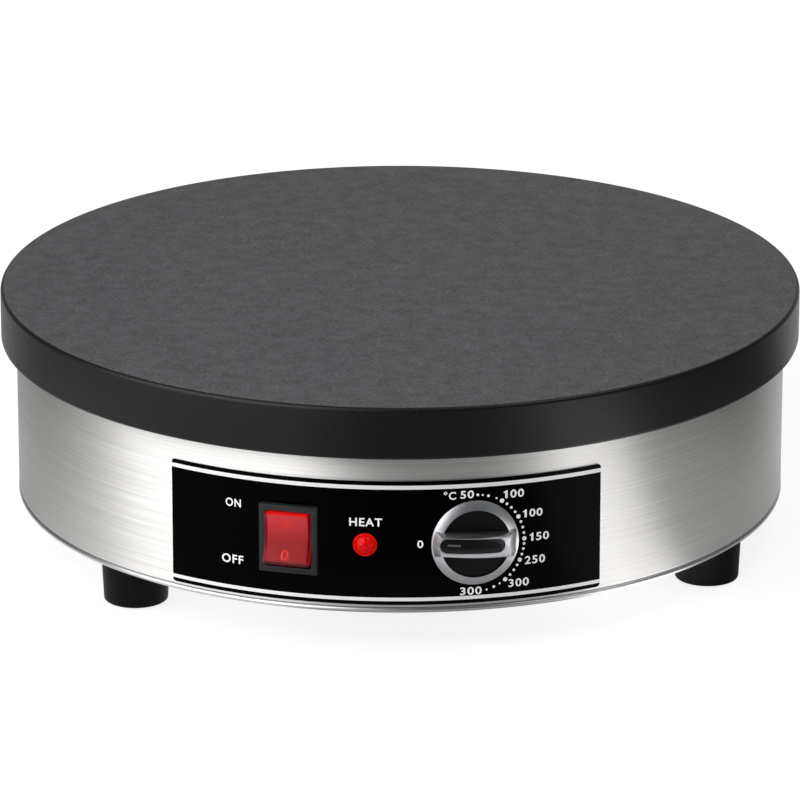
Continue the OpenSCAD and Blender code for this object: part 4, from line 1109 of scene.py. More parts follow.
@dataclass
class Feet:
    """Four moulded rubber feet."""

    angles: tuple[float, ...] = (-45.25, 62.35, 242.35, 134.75)
    ring_r: float = 175.0
    nodes: tuple[str, ...] = ("foot_front_left", "foot_front_right", "foot_rear_left", "foot_rear_right")
    height: float = 20.0
    top_r: float = 16.6
    low_r: float = 15.75
    edge: float = 1.5
    recess_r: float = 10.0
    recess: float = 9.0
    recess_edge: float = 0.4
    mouth_edge: float = 0.5
    hole_r: float = 3.1
    # Moulded rubber gives a dull, deep black with a soft grey edge.
    rubber: Finish = MouldedRubber("moulded rubber", "0a0a0b", roughness=0.48, specular=0.08)

    def profile(self) -> list[Point]:
        """The closed half section of a foot.

        Returns:
            Points as (radius, height): the recess, the foot's edge, its side and the bolt hole.
        """
        edge = arc((self.low_r - self.edge, self.edge), self.edge, -90, 0, 6)
        chamfer, mouth = self.recess_edge, self.mouth_edge
        return (
            [(self.hole_r, self.recess), (self.recess_r - chamfer, self.recess),
             (self.recess_r, self.recess - chamfer), (self.recess_r, mouth), (self.recess_r + mouth, 0.0)]
            + edge + [(self.top_r - 0.05, self.height - mouth), (self.top_r - mouth, self.height),
                      (self.hole_r, self.height)]
        )

    def build(self) -> list[bpy.types.Object]:
        """Turns each foot in its place and dresses it.

        Returns:
            The four feet.
        """
        feet = []
        rubber = self.rubber.make()
        for angle, node in zip(self.angles, self.nodes):
            foot = lathe(f"{node}_rubber", self.profile(), 72)
            smooth(settle(foot, turned(angle) @ moved(0, -self.ring_r)), 35)
            foot.data.materials.append(rubber)
            feet.append(hand_over(foot, node))
        return feet


# --------------------------------------------------------------------------- control panel


@dataclass(frozen=True)
class Label:
    """One printed word or number: its middle, and how wide and tall its capitals are."""

    words: str
    angle: float
    height: float
    width: float
    tall: float


@dataclass
class Panel:
    """The glossy overlay with its silver lines, words and dial."""

    in_r: float = 192.45
    sheet: float = 0.6
    low: float = 24.5
    tall: float = 62.4
    arc_width: float = 217.0
    corner: float = 1.6
    top_bands: tuple[float, ...] = (2.0, 2.0)
    low_bands: tuple[float, ...] = (1.9, 1.8)
    dial_angle: float = 12.95
    dial_height: float = 54.59
    dial_r: float = 24.57
    ink_t: float = 0.03
    ink_lift: float = 0.02
    stroke: float = 0.018
    spacing: float = 1.14
    # A printed film gives a deep black with soft, dim reflections; its lines are a pale silver ink, given a
    # faint white glow that is painted light.
    film: Finish = PrintedFilm("black printed film", "010101", roughness=0.14, specular=0.025)
    silver: Finish = BrushedSteel("silver printed line", "ebebeb", roughness=0.4, metallic=0.1,
                                  anisotropic=0.5, brush_turn=0.25, glow=0.12, glow_colour="ffffff",
                                  dark="eeeeee", light="fafafa")
    # Painted light: the white ink is given a faint white glow that lifts the print.
    ink: Finish = Finish("white ink", "fafaf8", roughness=0.5, glow=0.22, glow_colour="ffffff")
    labels: tuple[Label, ...] = (
        Label("ON", -22.02, 70.4, 8.0, 4.2), Label("OFF", -22.2, 41.65, 11.3, 4.4),
        Label("HEAT", -2.5, 66.3, 15.7, 4.15), Label("°C", 9.42, 79.35, 5.9, 4.15),
        Label("50", 11.87, 79.55, 6.5, 3.95), Label("100", 18.66, 78.3, 10.1, 4.05),
        Label("100", 21.5, 67.6, 9.9, 3.95), Label("150", 22.52, 55.3, 9.9, 4.05),
        Label("250", 21.88, 43.75, 10.3, 4.1), Label("300", 19.45, 32.95, 10.2, 4.05),
        Label("300", 12.45, 30.6, 10.5, 3.95), Label("0", 5.21, 55.3, 2.9, 3.9),
    )
    # A figure one with a flag, as shares of its width and height.
    one: tuple[Point, ...] = (
        (0.42, 0), (1, 0), (1, 1), (0.6, 1), (0.36, 0.87), (0, 0.8), (0, 0.65), (0.42, 0.7),
    )
    one_width: float = 0.4
    one_gap: float = 0.28
    big_dot: float = 1.08
    mid_dot: float = 0.68
    small_dot: float = 0.5
    # The dots' places by clock angle from twelve.
    big_marks: tuple[float, ...] = (32.9, 61.2, 89.0, 114.5, 142.1)
    mid_marks: tuple[float, ...] = (3.5, 15.8, 40.0, 47.0, 54.1, 68.2, 75.4, 82.1, 95.0, 101.1, 107.7,
                                    121.1, 127.8, 134.6, 157.2)
    small_marks: tuple[float, ...] = (9.1, 25.7, 149.7, 165.9)

    @property
    def face_r(self) -> float:
        """Radius of the printed face."""
        return self.in_r + self.sheet

    @property
    def top(self) -> float:
        """Height of the panel's upper edge."""
        return self.low + self.tall

    @property
    def half_angle(self) -> float:
        """Half the panel's angle round the drum, in degrees."""
        return math.degrees(self.arc_width / 2 / Drum.outer_r)

    @property
    def ink_depth(self) -> float:
        """Depth of the ink, which is negative because it stands before the drum."""
        return Drum.outer_r - self.face_r - self.ink_lift

    def build_film(self) -> bpy.types.Object:
        """Spins the overlay in its bands, rounds its corners, cuts its openings and dresses it.

        Returns:
            The overlay.
        """
        low_line = (self.low + self.low_bands[0], self.low + sum(self.low_bands))
        top_line = (self.top - sum(self.top_bands), self.top - self.top_bands[0])
        levels = [self.low, *low_line, 40.0, 55.0, 70.0, *top_line, self.top]
        profile = [(self.face_r, z) for z in levels] + [(self.in_r, z) for z in reversed(levels)]
        film = lathe("panel_overlay", profile, 96, 2 * self.half_angle, -90 + self.half_angle)
        cap_ends(film)
        cut(film, self.rounded_frame(), Cut.KEEP)
        for cutter in wall_cutters():
            cut(film, cutter)
        dress(smooth(clean(film), 30), self.film, self.silver)
        for face in film.data.polygons:
            z = face.center.z / MM
            outwards = face.normal.xy.dot(face.center.xy) > 0
            on_line = low_line[0] < z < low_line[1] or top_line[0] < z < top_line[1]
            face.material_index = 1 if outwards and on_line else 0
        return hand_over(film, "control_panel")

    def rounded_frame(self) -> bpy.types.Object:
        """A block seen from the front as the panel's outline with round corners.

        Returns:
            The block.
        """
        chord = Drum.outer_r * math.sin(math.radians(self.half_angle))
        return settle(prism("cutter", rounded_box(chord, self.low, self.top, self.corner, 8), 0, 210),
                      turned(90, "X"))

    def dot(self, clock: float, radius: float) -> bpy.types.Object:
        """One printed dot of the dial.

        Args:
            clock: its clock angle from twelve.
            radius: its radius.

        Returns:
            The dot.
        """
        turn = math.radians(clock)
        across = math.degrees(self.dial_r * math.sin(turn) / self.face_r)
        up = self.dial_height + self.dial_r * math.cos(turn)
        return settle(rod("dot", radius, 0, self.ink_t, 20),
                      out_of_wall(self.dial_angle + across, up, self.ink_depth))

    def numeral_one(self, tall: float, right: float) -> bpy.types.Object:
        """A figure one with a flag.

        Args:
            tall: its height, as its neighbours have it.
            right: the x of its stem's right edge.

        Returns:
            The figure, flat and upright in x and y.
        """
        wide = self.one_width * tall
        figure = fill([Vector((right - wide + x * wide, y * tall, 0)) for x, y in self.one])
        bpy.ops.object.mode_set(mode="OBJECT")
        return figure

    def flat_words(self, words: str) -> bpy.types.Object:
        """Writes words as a flat mesh; a leading one is drawn with its flag.

        Args:
            words: what is written.

        Returns:
            The flat mesh.
        """
        deselect()
        bpy.ops.object.text_add(location=(0, 0, 0))
        text = bpy.context.object
        flagged = words.startswith("1")
        text.data.body = words[1:] if flagged else words
        text.data.offset = self.stroke
        text.data.resolution_u = 6
        text.data.space_character = self.spacing
        bpy.ops.object.convert(target="MESH")
        word = bpy.context.object
        if flagged:
            low, high = self.extent(word)
            settle(word, Matrix.Translation(-low))
            tall = high.y - low.y
            word = join([word, self.numeral_one(tall, -self.one_gap * tall)], "word")
        return word

    def extent(self, piece: bpy.types.Object) -> tuple[Vector, Vector]:
        """The box round a piece that sits at the origin.

        Args:
            piece: the piece.

        Returns:
            Its lowest and highest corner.
        """
        points = [v.co for v in piece.data.vertices]
        return (Vector([min(p[k] for p in points) for k in range(3)]),
                Vector([max(p[k] for p in points) for k in range(3)]))

    def word(self, label: Label, film: bpy.types.Object) -> bpy.types.Object:
        """Writes one label and presses it onto the curved face.

        Args:
            label: the word and its place.
            film: the overlay.

        Returns:
            The printed word.
        """
        word = self.flat_words(label.words)
        low, high = self.extent(word)
        size = high - low
        fit = Matrix.Diagonal((label.width * MM / size.x, label.tall * MM / size.y, 1, 1))
        settle(word, fit @ Matrix.Translation(-(low + high) / 2))
        word.matrix_world = out_of_wall(label.angle, label.height, self.ink_depth - 3)
        apply_modifier(
            word, "SHRINKWRAP", wrap_method="PROJECT", use_project_z=True, use_negative_direction=True,
            use_positive_direction=False, target=film, offset=self.ink_t * MM,
        )
        return settle(word)

    def build_print(self, film: bpy.types.Object) -> bpy.types.Object:
        """Prints all the words and dots as one thin layer of ink.

        Args:
            film: the overlay.

        Returns:
            The ink.
        """
        layer = [self.word(label, film) for label in self.labels]
        for radius, marks in ((self.big_dot, self.big_marks), (self.mid_dot, self.mid_marks),
                              (self.small_dot, self.small_marks)):
            layer += [self.dot(clock, radius) for clock in marks]
        ink = join(layer, "panel_print")
        ink.data.materials.clear()
        return hand_over(dress(ink, self.ink), None)


# --------------------------------------------------------------------------- rocker switch


@dataclass
class Switch:
    """The lit rocker switch: frame, red core and clear cap."""

    angle: float = -13.45
    height: float = 56.2
    bezel_w: float = 28.8
    bezel_h: float = 34.0
    bezel_t: float = 3.6
    wall: float = 1.1
    back_wall: float = 1.5
    depth: float = 24.0
    rocker_w: float = 22.1
    half_h: float = 11.9
    proud: float = 4.8
    hollow: float = 3.2
    end_draft: float = 19.0
    tilt: float = 8.0
    pivot_depth: float = 6.0
    pivot_d: float = 3.0
    pivot_gap: float = 0.05
    cap: float = 1.0
    cap_gap: float = 0.05
    root_half: float = 9.5
    mark_lift: float = 0.02
    mark_x: float = -0.6
    # Polyamide with a spark texture gives a soft dark grey; acrylic lit from inside is deep and clear.
    black: Finish = MouldedPlastic("textured black polyamide", "242628", roughness=0.42, specular=0.22)
    red: Finish = RibbedLens("ribbed red acrylic", "b01c20", roughness=0.4, specular=0.05, glow=0.2,
                             glow_colour="c01a1e", turn=-13.45)
    # Faces of the core that don't face forward take a brighter, more strongly glowing red: partly the
    # switch's own glow, partly painted light on end faces in shade.
    glow_painted_edge_red: Finish = MouldedPlastic("saturated red acrylic", "c40a0c", roughness=0.25, specular=0.4,
                                      glow=0.35, glow_colour="d01012")
    mark: Finish = Finish("orange mark", "d8301c", roughness=0.4, specular=0.1, glow=0.15,
                          glow_colour="e0301c")
    clear: Finish = Finish("satin clear acrylic", "ffffff", roughness=0.34, transmission=1.0, ior=1.12)

    @property
    def cavity_w(self) -> float:
        """Width of the frame's opening."""
        return self.rocker_w + 0.6

    @property
    def housing_w(self) -> float:
        """Outer width of the body behind the frame."""
        return self.cavity_w + 2 * self.wall

    @property
    def cutout_w(self) -> float:
        """Width of the opening in the drum."""
        return self.housing_w + 0.4

    @property
    def tip_out(self) -> float:
        """Distance of the rocker's tips from its pivot."""
        return self.pivot_depth + self.proud

    @property
    def skirt_out(self) -> float:
        """Distance of the rocker's skirt from its pivot."""
        return self.pivot_depth * 0.65

    @property
    def end_slope(self) -> float:
        """How fast the rocker's ends widen towards its skirt."""
        return math.tan(math.radians(self.end_draft))

    @property
    def cavity_r(self) -> float:
        """Radius of the round cavity about the pivot in which both ends swing.

        Returns:
            The radius.
        """
        turn = math.radians(self.tilt)
        pressed = self.tip_out * math.cos(turn) - self.half_h * math.sin(turn)
        reach = self.tip_out * math.sin(turn) + self.half_h * math.cos(turn)
        slope = math.tan(math.radians(self.end_draft - self.tilt))
        return math.hypot(self.pivot_depth, reach + (pressed - self.pivot_depth) * slope) + 0.2

    @property
    def housing_half(self) -> float:
        """Half height of the body behind the frame."""
        return self.cavity_r + self.wall

    @property
    def bezel_back(self) -> float:
        """Depth of the frame's back from the drum's face."""
        face_r = Panel().face_r
        return sag(face_r, self.cutout_w / 2) - (face_r - Drum.outer_r)

    @property
    def bezel_face(self) -> float:
        """Depth of the frame's face, negative because it stands proud."""
        return self.bezel_back - self.bezel_t

    @property
    def pivot(self) -> float:
        """Depth of the pivot from the drum's face."""
        return self.bezel_face + self.pivot_depth

    @property
    def core_inset(self) -> float:
        """How far the core's face lies behind the cap's."""
        return self.cap + self.cap_gap

    @property
    def face_bow(self) -> float:
        """Radius of the cap's hollow face."""
        return bow_radius(self.half_h, self.hollow)

    def place(self) -> Matrix:
        """The switch's frame on the wall."""
        return wall_place(self.angle, self.height)

    def rocker_place(self) -> Matrix:
        """The rocker's own frame: its pivot, tilted to ON."""
        return self.place() @ moved(0, self.pivot) @ turned(-self.tilt, "X")

    def build_frame(self) -> bpy.types.Object:
        """The black frame and body with its cavity.

        Returns:
            The frame.
        """
        face_r = Panel().face_r
        half_w, half_h = self.bezel_w / 2, self.bezel_h / 2
        frame = block("switch_frame", (-half_w, self.bezel_face, -half_h), (half_w, self.bezel_back, half_h))
        cut(frame, settle(rod("cutter", face_r + 0.05, -30, 30, 360), moved(0, Drum.outer_r)))
        back = self.bezel_back + self.depth
        body = block("body", (-self.housing_w / 2, Drum.outer_r - face_r - 0.5, -self.housing_half),
                     (self.housing_w / 2, back, self.housing_half))
        cut(frame, body, Cut.ADD)
        cut(frame, self.cavity(back - self.back_wall))
        bore = rod("cutter", self.pivot_d / 2 + self.pivot_gap, -20, 20, 24)
        cut(frame, settle(bore, moved(0, self.pivot) @ turned(90, "Y")))
        soften(clean(frame), 0.45, 3, 40)
        dress(smooth(settle(frame, self.place()), 40), self.black)
        return hand_over(frame, "switch_housing")

    def cavity(self, back: float) -> bpy.types.Object:
        """The opening that the rocker swings in, round about the pivot in front and square behind."""
        front = [(self.pivot + y, z) for y, z in arc((0, 0), self.cavity_r, 90, 270, 48)]
        return self.across(front + [(back, -self.cavity_r), (back, self.cavity_r)], self.cavity_w)

    def side_prism(self, inset: float, back: float, width: float) -> bpy.types.Object:
        """The rocker's head as a prism across the switch, its face not yet hollowed.

        Args:
            inset: how far its ends lie inside the cap's.
            back: the distance of its back from the pivot.
            width: its width.

        Returns:
            The prism.
        """
        front = self.tip_out + 0.5
        half_back = self.half_h + (self.tip_out - back) * self.end_slope - inset
        half_front = self.half_h - 0.5 * self.end_slope - inset
        outline = [(-back, half_back), (-front, half_front), (-front, -half_front), (-back, -half_back)]
        return self.across(outline, width)

    def across(self, outline: list[Point], width: float) -> bpy.types.Object:
        """A prism across the wall from an outline of (depth, height)."""
        return settle(prism("prism", outline, -width / 2, width / 2), ALONG_X)

    def face_cutter(self, deeper: float) -> bpy.types.Object:
        """What the hollow takes off the rocker's face.

        Args:
            deeper: how far the face lies behind the cap's.

        Returns:
            The cutter, an outline swept across the rocker.
        """
        centre = self.tip_out - self.hollow + self.face_bow
        reach = self.half_h + 4
        points = []
        for k in range(49):
            z = -reach + 2 * reach * k / 48
            rise = math.sqrt(max((self.face_bow + deeper) ** 2 - z * z, 0.0))
            points.append((-min(centre - rise, self.tip_out - deeper), z))
        outline = points + [(-self.tip_out - 6, reach), (-self.tip_out - 6, -reach)]
        return self.across(outline, self.rocker_w * 2)

    def build_cap(self) -> bpy.types.Object:
        """The clear shell over the red core.

        Returns:
            The cap.
        """
        cap = self.side_prism(0, self.skirt_out, self.rocker_w)
        cut(cap, self.face_cutter(0))
        inner = self.side_prism(self.cap, self.skirt_out - 1, self.rocker_w - 2 * self.cap)
        cut(inner, self.face_cutter(self.cap))
        cut(soften(clean(cap), 0.5, 3, 40), inner)
        name_piece(clean(cap), "rocker_clear")
        dress(smooth(settle(cap, self.rocker_place()), 40), self.clear)
        return hand_over(cap, "rocker_cap", Body.ROCKER)

    def build_core(self) -> bpy.types.Object:
        """The red core with its ribbed face and pivot pins.

        Returns:
            The core.
        """
        gap = self.core_inset
        width = self.rocker_w - 2 * gap
        head = self.side_prism(gap, self.skirt_out - 0.05, width)
        cut(head, self.face_cutter(gap))
        half_root = self.half_h + (self.tip_out - self.skirt_out) * self.end_slope - gap
        root = self.across([(-self.skirt_out + 0.05, half_root), (-self.skirt_out + 0.05, -half_root),
                            (3, -self.root_half), (3, self.root_half)], width)
        cut(head, root, Cut.ADD)
        half = (self.housing_w - 0.6) / 2
        cut(head, settle(rod("pin", self.pivot_d / 2, -half, half, 24), turned(90, "Y")), Cut.ADD)
        soften(clean(head), 0.15, 2, 40)
        dress(name_piece(head, "rocker_red"), self.red, self.glow_painted_edge_red)
        # Faces turned away from the front take the brighter glowing red, which is partly painted light.
        for face in head.data.polygons:
            face.material_index = 0 if face.normal.y < -0.85 else 1
        smooth(settle(head, self.rocker_place()), 40)
        return hand_over(head, "rocker_core", Body.ROCKER)

    def frame_mark(self, wide: float, tall: float, rounding: float, line: float,
                   low: float) -> bpy.types.Object:
        """A closed frame mark that lies on the core's face.

        Args:
            wide: its width.
            tall: its height.
            rounding: its corners' radius.
            line: its line's width.
            low: how far its foot lies above the pivot.

        Returns:
            The mark.
        """
        outlines = []
        for inset in (0, line):
            half = tall / 2 - inset
            outlines.append(rounded_box(wide / 2 - inset, -half, half, max(rounding - inset, 0.1), 6))
        mark = prism("mark", outlines[0], -0.6, 0.6)
        cut(mark, prism("cutter", outlines[1], -1, 1))
        radius = self.face_bow + self.core_inset
        centre = self.tip_out - self.hollow + radius - self.core_inset
        middle = low + tall / 2
        depth = centre - math.sqrt(radius ** 2 - middle ** 2)
        tip = math.degrees(math.asin(middle / radius))
        return settle(mark, moved(0, -(depth + self.mark_lift), middle) @ turned(90 + tip, "X"))

    def build_marks(self) -> bpy.types.Object:
        """The ring at the foot and the bar frame at the top of the rocker's face.

        Returns:
            Both marks as one piece.
        """
        ring = self.frame_mark(3.3, 4.6, 1.3, 0.65, -10.6)
        bar = self.frame_mark(2.8, 3.6, 0.6, 0.5, 5.2)
        marks = settle(join([ring, bar], "rocker_marks"), self.rocker_place() @ moved(self.mark_x))
        smooth(dress(marks, self.mark), 40)
        return hand_over(marks, None, Body.ROCKER)


# --------------------------------------------------------------------------- heat lamp


@dataclass
class HeatLamp:
    """The red pilot lamp."""

    angle: float = -2.58
    height: float = 55.1
    hole_r: float = 5.1
    rim_r: float = 5.8
    rim_t: float = 1.2
    rim_round: float = 0.5
    rim_foot: float = 0.2
    groove_w: float = 0.25
    dome_r: float = 4.6
    dome_h: float = 2.6
    # A small prismed dome gives an even bright red with a soft point of light.
    red: Finish = PrismLens("red polycarbonate", "c80204", roughness=0.2, specular=0.08, coat=0.08,
                            coat_roughness=0.05, glow=0.38, glow_colour="e60204")

    def profile(self) -> list[Point]:
        """The lens's half section.

        Returns:
            Points as (radius, height): rim, groove and dome.
        """
        radius = bow_radius(self.dome_r, self.dome_h)
        middle = self.rim_t + self.dome_h - radius
        reach = math.degrees(math.asin(min(self.dome_r / radius, 1)))
        dome = [(radius * math.sin(math.radians(a)), middle + radius * math.cos(math.radians(a)))
                for a in [reach * (1 - k / 12) for k in range(13)]]
        rim = arc((self.rim_r - self.rim_round, self.rim_t - self.rim_round), self.rim_round, 0, 90, 4)
        foot = [(0.0, 0.0), (self.rim_r - self.rim_foot, 0.0), (self.rim_r, self.rim_foot)]
        groove = [(self.dome_r + self.groove_w, self.rim_t), (self.dome_r + 0.1, self.rim_t - 0.15)]
        return foot + rim + groove + dome

    def build(self) -> bpy.types.Object:
        """Turns the lens, sets it on the panel and dresses it.

        Returns:
            The lens.
        """
        lens = lathe("lamp_lens_red", self.profile(), 64)
        settle(lens, out_of_wall(self.angle, self.height, Drum.outer_r - Panel().face_r))
        dress(smooth(lens, 40), self.red)
        return hand_over(lens, "lamp_lens")


# --------------------------------------------------------------------------- knob


@dataclass
class Knob:
    """The heat knob: black base, silver ring with a wing, and a dark inlay."""

    angle: float = 12.95
    height: float = 55.6
    hole_r: float = 7.2
    roll: float = -2.5
    outer_r: float = 21.2
    ring_w: float = 4.3
    gap: float = 0.5
    base_t: float = 0.4
    edge_t: float = 0.8
    rise: float = 2.2
    hollow: float = 1.4
    wing_h: float = 8.3
    arch: float = 2.2
    foot_w: float = 13.9
    waist_w: float = 11.2
    waist_bow: float = 0.4
    top_w: float = 10.1
    splay: float = 1.2
    reach: float = 18.0
    tail: float = 15.5
    crown_r: float = 22.0
    # The solids that shape the wing are longer and wider than the wing itself.
    arch_span: float = 44.0
    view_w: float = 50.0
    inlay_w: float = 7.0
    inlay_len: float = 31.4
    inlay_t: float = 0.8
    inlay_sink: float = 0.5
    inlay_y: float = 0.8
    inlay_gap: float = 0.05
    hub_r: float = 6.0
    hub_len: float = 10.8
    bore_r: float = 2.9
    pointer_len: float = 6.4
    pointer_w: float = 1.1
    pointer_x: float = -11.6
    # Cuts stand this far off the ring's inner wall and the floor, so that no two faces coincide.
    clear_floor: float = 0.06
    clear_side: float = 0.12
    clear_under: float = 0.15
    # Metallised trim gives broad soft bands of grey and white; the floor between is a quiet black.
    silver: Finish = TurnedTrim("brushed metallised trim", "b8babd", roughness=0.32, metallic=1.0)
    black: Finish = MouldedPlastic("black knob plastic", "090909", roughness=0.35, specular=0.15)
    gloss: Finish = MouldedPlastic("glossy black inlay", "0b0b0b", roughness=0.18, specular=0.2,
                                   texture_depth=0.003)
    pale: Finish = Finish("pale pointer ink", "56585a", roughness=0.5)

    @property
    def base_top(self) -> float:
        """Height of the base disc's top above the panel."""
        return self.gap + self.base_t

    @property
    def ring_edge(self) -> float:
        """Height of the ring's outer edge."""
        return self.base_top + self.edge_t

    @property
    def wing_top(self) -> float:
        """Height of the wing's top."""
        return self.ring_edge + self.wing_h

    @property
    def wing_end(self) -> float:
        """Height at which the wing's arched top meets its ends."""
        return self.wing_top - self.arch

    @property
    def floor(self) -> float:
        """Height of the black floor inside the ring."""
        return self.ring_edge + self.rise - self.hollow

    @property
    def ring_in_r(self) -> float:
        """Inner radius of the ring."""
        return self.outer_r - self.ring_w

    @property
    def arch_r(self) -> float:
        """Radius of the wing's arch along its top."""
        return bow_radius((self.tail + self.reach) / 2, self.arch)

    @property
    def middle(self) -> float:
        """Middle of the wing along it."""
        return (self.tail - self.reach) / 2

    @property
    def inlay_x(self) -> float:
        """Middle of the inlay along the wing."""
        return -self.reach + self.inlay_len / 2 - 0.2

    def place(self) -> Matrix:
        """The knob's own frame on the panel's face."""
        return out_of_wall(self.angle, self.height, Drum.outer_r - Panel().face_r, self.roll)

    def finish(self, obj: bpy.types.Object, node: str | None, slot: str) -> bpy.types.Object:
        """Sets a piece of the knob in its place and says what it stands for."""
        smooth(settle(obj, self.place()), 32)
        return hand_over(obj, node, Body.KNOB)

    def build_base(self) -> bpy.types.Object:
        """The black base disc, the floor inside the ring and the hub.

        Returns:
            The base.
        """
        inner, outer, bore_top = self.ring_in_r - 0.05, self.outer_r - 0.4, self.gap + 0.1
        profile = [
            (0.0, bore_top), (self.bore_r, bore_top), (self.bore_r, -self.hub_len),
            (self.hub_r, -self.hub_len), (self.hub_r, self.gap), (outer, self.gap), (outer, self.base_top),
            (inner, self.base_top), (inner, self.floor - 0.3), (inner - 0.3, self.floor), (0.0, self.floor),
        ]
        return self.finish(dress(lathe("knob_base", profile, 128), self.black), "knob_body", "knob_black")

    def under_arch(self, lower: float) -> bpy.types.Object:
        """Everything that lies so far under the wing's arch.

        Args:
            lower: the depth under the arch.

        Returns:
            A prism across the wing.
        """
        turn = math.degrees(math.asin(self.arch_span / 2 / self.arch_r))
        top = arc((self.middle, self.wing_top - self.arch_r), self.arch_r - lower, 90 - turn, 90 + turn, 48)
        return self.side_view(top + [(top[-1][0], -5.0), (top[0][0], -5.0)])

    def side_view(self, outline: list[Point]) -> bpy.types.Object:
        """A prism across the wing from an outline of (x, height)."""
        return settle(prism("view", outline, -self.view_w / 2, self.view_w / 2), turned(90, "X"))

    def flank(self, side: int) -> bpy.types.Object:
        """The wing's section, its flank towards one side splayed and the other one left wide.

        Args:
            side: 1 for the upper side, -1 for the lower.

        Returns:
            A prism along the wing.
        """
        outline = [
            (side * self.foot_w / 2, self.base_top), (side * self.top_w / 2, self.wing_end),
            (side * self.top_w / 2, self.wing_top + 2), (-side * self.foot_w, self.wing_top + 2),
            (-side * self.foot_w, self.base_top),
        ]
        return settle(prism("flank", outline, -42, 42), turned(side * self.splay) @ ALONG_X)

    def wing(self) -> bpy.types.Object:
        """The wing: a cone within its side view, flanks and crowned top, cut free beside it and recessed.

        Returns:
            The wing.
        """
        foot_r = self.outer_r - 0.2
        rise = self.wing_end - self.base_top
        full = self.wing_top + 0.5 - self.base_top
        top = self.base_top + full
        sunk = 0.3
        low = self.base_top + sunk
        low_r = foot_r - (foot_r - self.reach) / rise * sunk
        head_r = foot_r - (foot_r - self.reach) / rise * full
        head_x = foot_r - (foot_r - self.tail) / rise * full
        wing = lathe("wing", [(0, low), (low_r, low), (head_r, top), (0, top)], 192)
        side = [(-40, self.base_top), (foot_r, self.base_top), (head_x, top), (head_x, top + 1),
                (-40, top + 1)]
        cut(wing, self.side_view(side), Cut.KEEP)
        cut(wing, self.flank(1), Cut.KEEP)
        cut(wing, self.flank(-1), Cut.KEEP)
        cut(wing, self.barrel(), Cut.KEEP)
        cut(wing, rod("cutter", self.ring_in_r + self.clear_floor, 0, self.floor, 192))
        cut(wing, self.hollow_beside(1))
        cut(wing, self.hollow_beside(-1))
        return cut(wing, self.inlay_space(self.inlay_gap, -1.5))

    def barrel(self) -> bpy.types.Object:
        """The crowned top of the wing: arched along it and rounder across it.

        Returns:
            A barrel that lies across the wing.
        """
        across = range(-10, 11, 2)
        profile = [(self.arch_r - self.crown_r + math.sqrt(self.crown_r ** 2 - y ** 2), y) for y in across]
        barrel = lathe("barrel", [(0, -10)] + profile + [(0, 10)], 192)
        middle = Vector((self.middle, 0, self.wing_top - self.arch_r)) * MM
        return settle(barrel, Matrix.Translation(middle) @ turned(90, "X"))

    def hollow_beside(self, side: int) -> bpy.types.Object:
        """What is taken off beside the wing: a piece of a circle with a slightly bowed chord.

        Args:
            side: 1 for the upper side, -1 for the lower.

        Returns:
            The cutter.
        """
        edge_r, waist = self.ring_in_r + self.clear_side, self.waist_w / 2
        start = math.degrees(math.asin((waist + self.waist_bow) / edge_r))
        rim = arc((0, 0), edge_r, start, 180 - start, 72)
        steps = [rim[-1][0] * (1 - k / 12) for k in range(1, 24)]
        chord = [(x, waist + self.waist_bow * (x / edge_r) ** 2) for x in steps]
        return prism("cutter", [(x, side * y) for x, y in rim + chord], self.floor - self.clear_under, 20)

    def inlay_space(self, wider: float, below: float) -> bpy.types.Object:
        """The inlay's space, from its seat up.

        Args:
            wider: how much wider it is all round.
            below: how far below the wing's top it ends.

        Returns:
            The space as a solid.
        """
        space = prism("space", stadium(self.inlay_len + 2 * wider, self.inlay_w + 2 * wider, 24),
                      self.wing_end - self.inlay_sink - 2 * self.inlay_t, self.wing_top + 0.5)
        settle(space, moved(self.inlay_x, self.inlay_y))
        cut(space, self.under_arch(below), Cut.KEEP)
        return cut(space, self.under_arch(self.inlay_sink + self.inlay_t))

    def build_trim(self) -> bpy.types.Object:
        """The silver ring and its wing in one piece, with the inlay's recess.

        Returns:
            The trim.
        """
        trim = lathe("knob_trim_silver", [
            (self.ring_in_r, self.base_top), (self.outer_r, self.base_top), (self.outer_r, self.ring_edge),
            (self.ring_in_r, self.ring_edge + self.rise),
        ], 192)
        cut(trim, self.wing(), Cut.ADD)
        soften(clean(trim, 5e-6), 0.25, 3, 24)
        return self.finish(dress(trim, self.silver), "knob_trim", "knob_silver")

    def build_inlay(self) -> bpy.types.Object:
        """The dark inlay with a soft edge.

        Returns:
            The inlay.
        """
        inlay = name_piece(self.inlay_space(0, self.inlay_sink), "knob_inlay_black")
        soften(clean(inlay), 0.2, 2, 40)
        return self.finish(dress(inlay, self.gloss), "knob_inlay", "knob_inlay")

    def build_pointer(self) -> bpy.types.Object:
        """The pale line at the inlay's pointing end.

        Returns:
            The line.
        """
        line = prism("knob_pointer", stadium(self.pointer_len, self.pointer_w, 10), 0, 12)
        settle(line, moved(self.pointer_x, self.inlay_y + 0.3))
        cut(line, self.under_arch(self.inlay_sink - 0.02), Cut.KEEP)
        cut(line, self.under_arch(self.inlay_sink + 0.1))
        return self.finish(dress(line, self.pale), None, "knob_inlay")


# --------------------------------------------------------------------------- cord gland


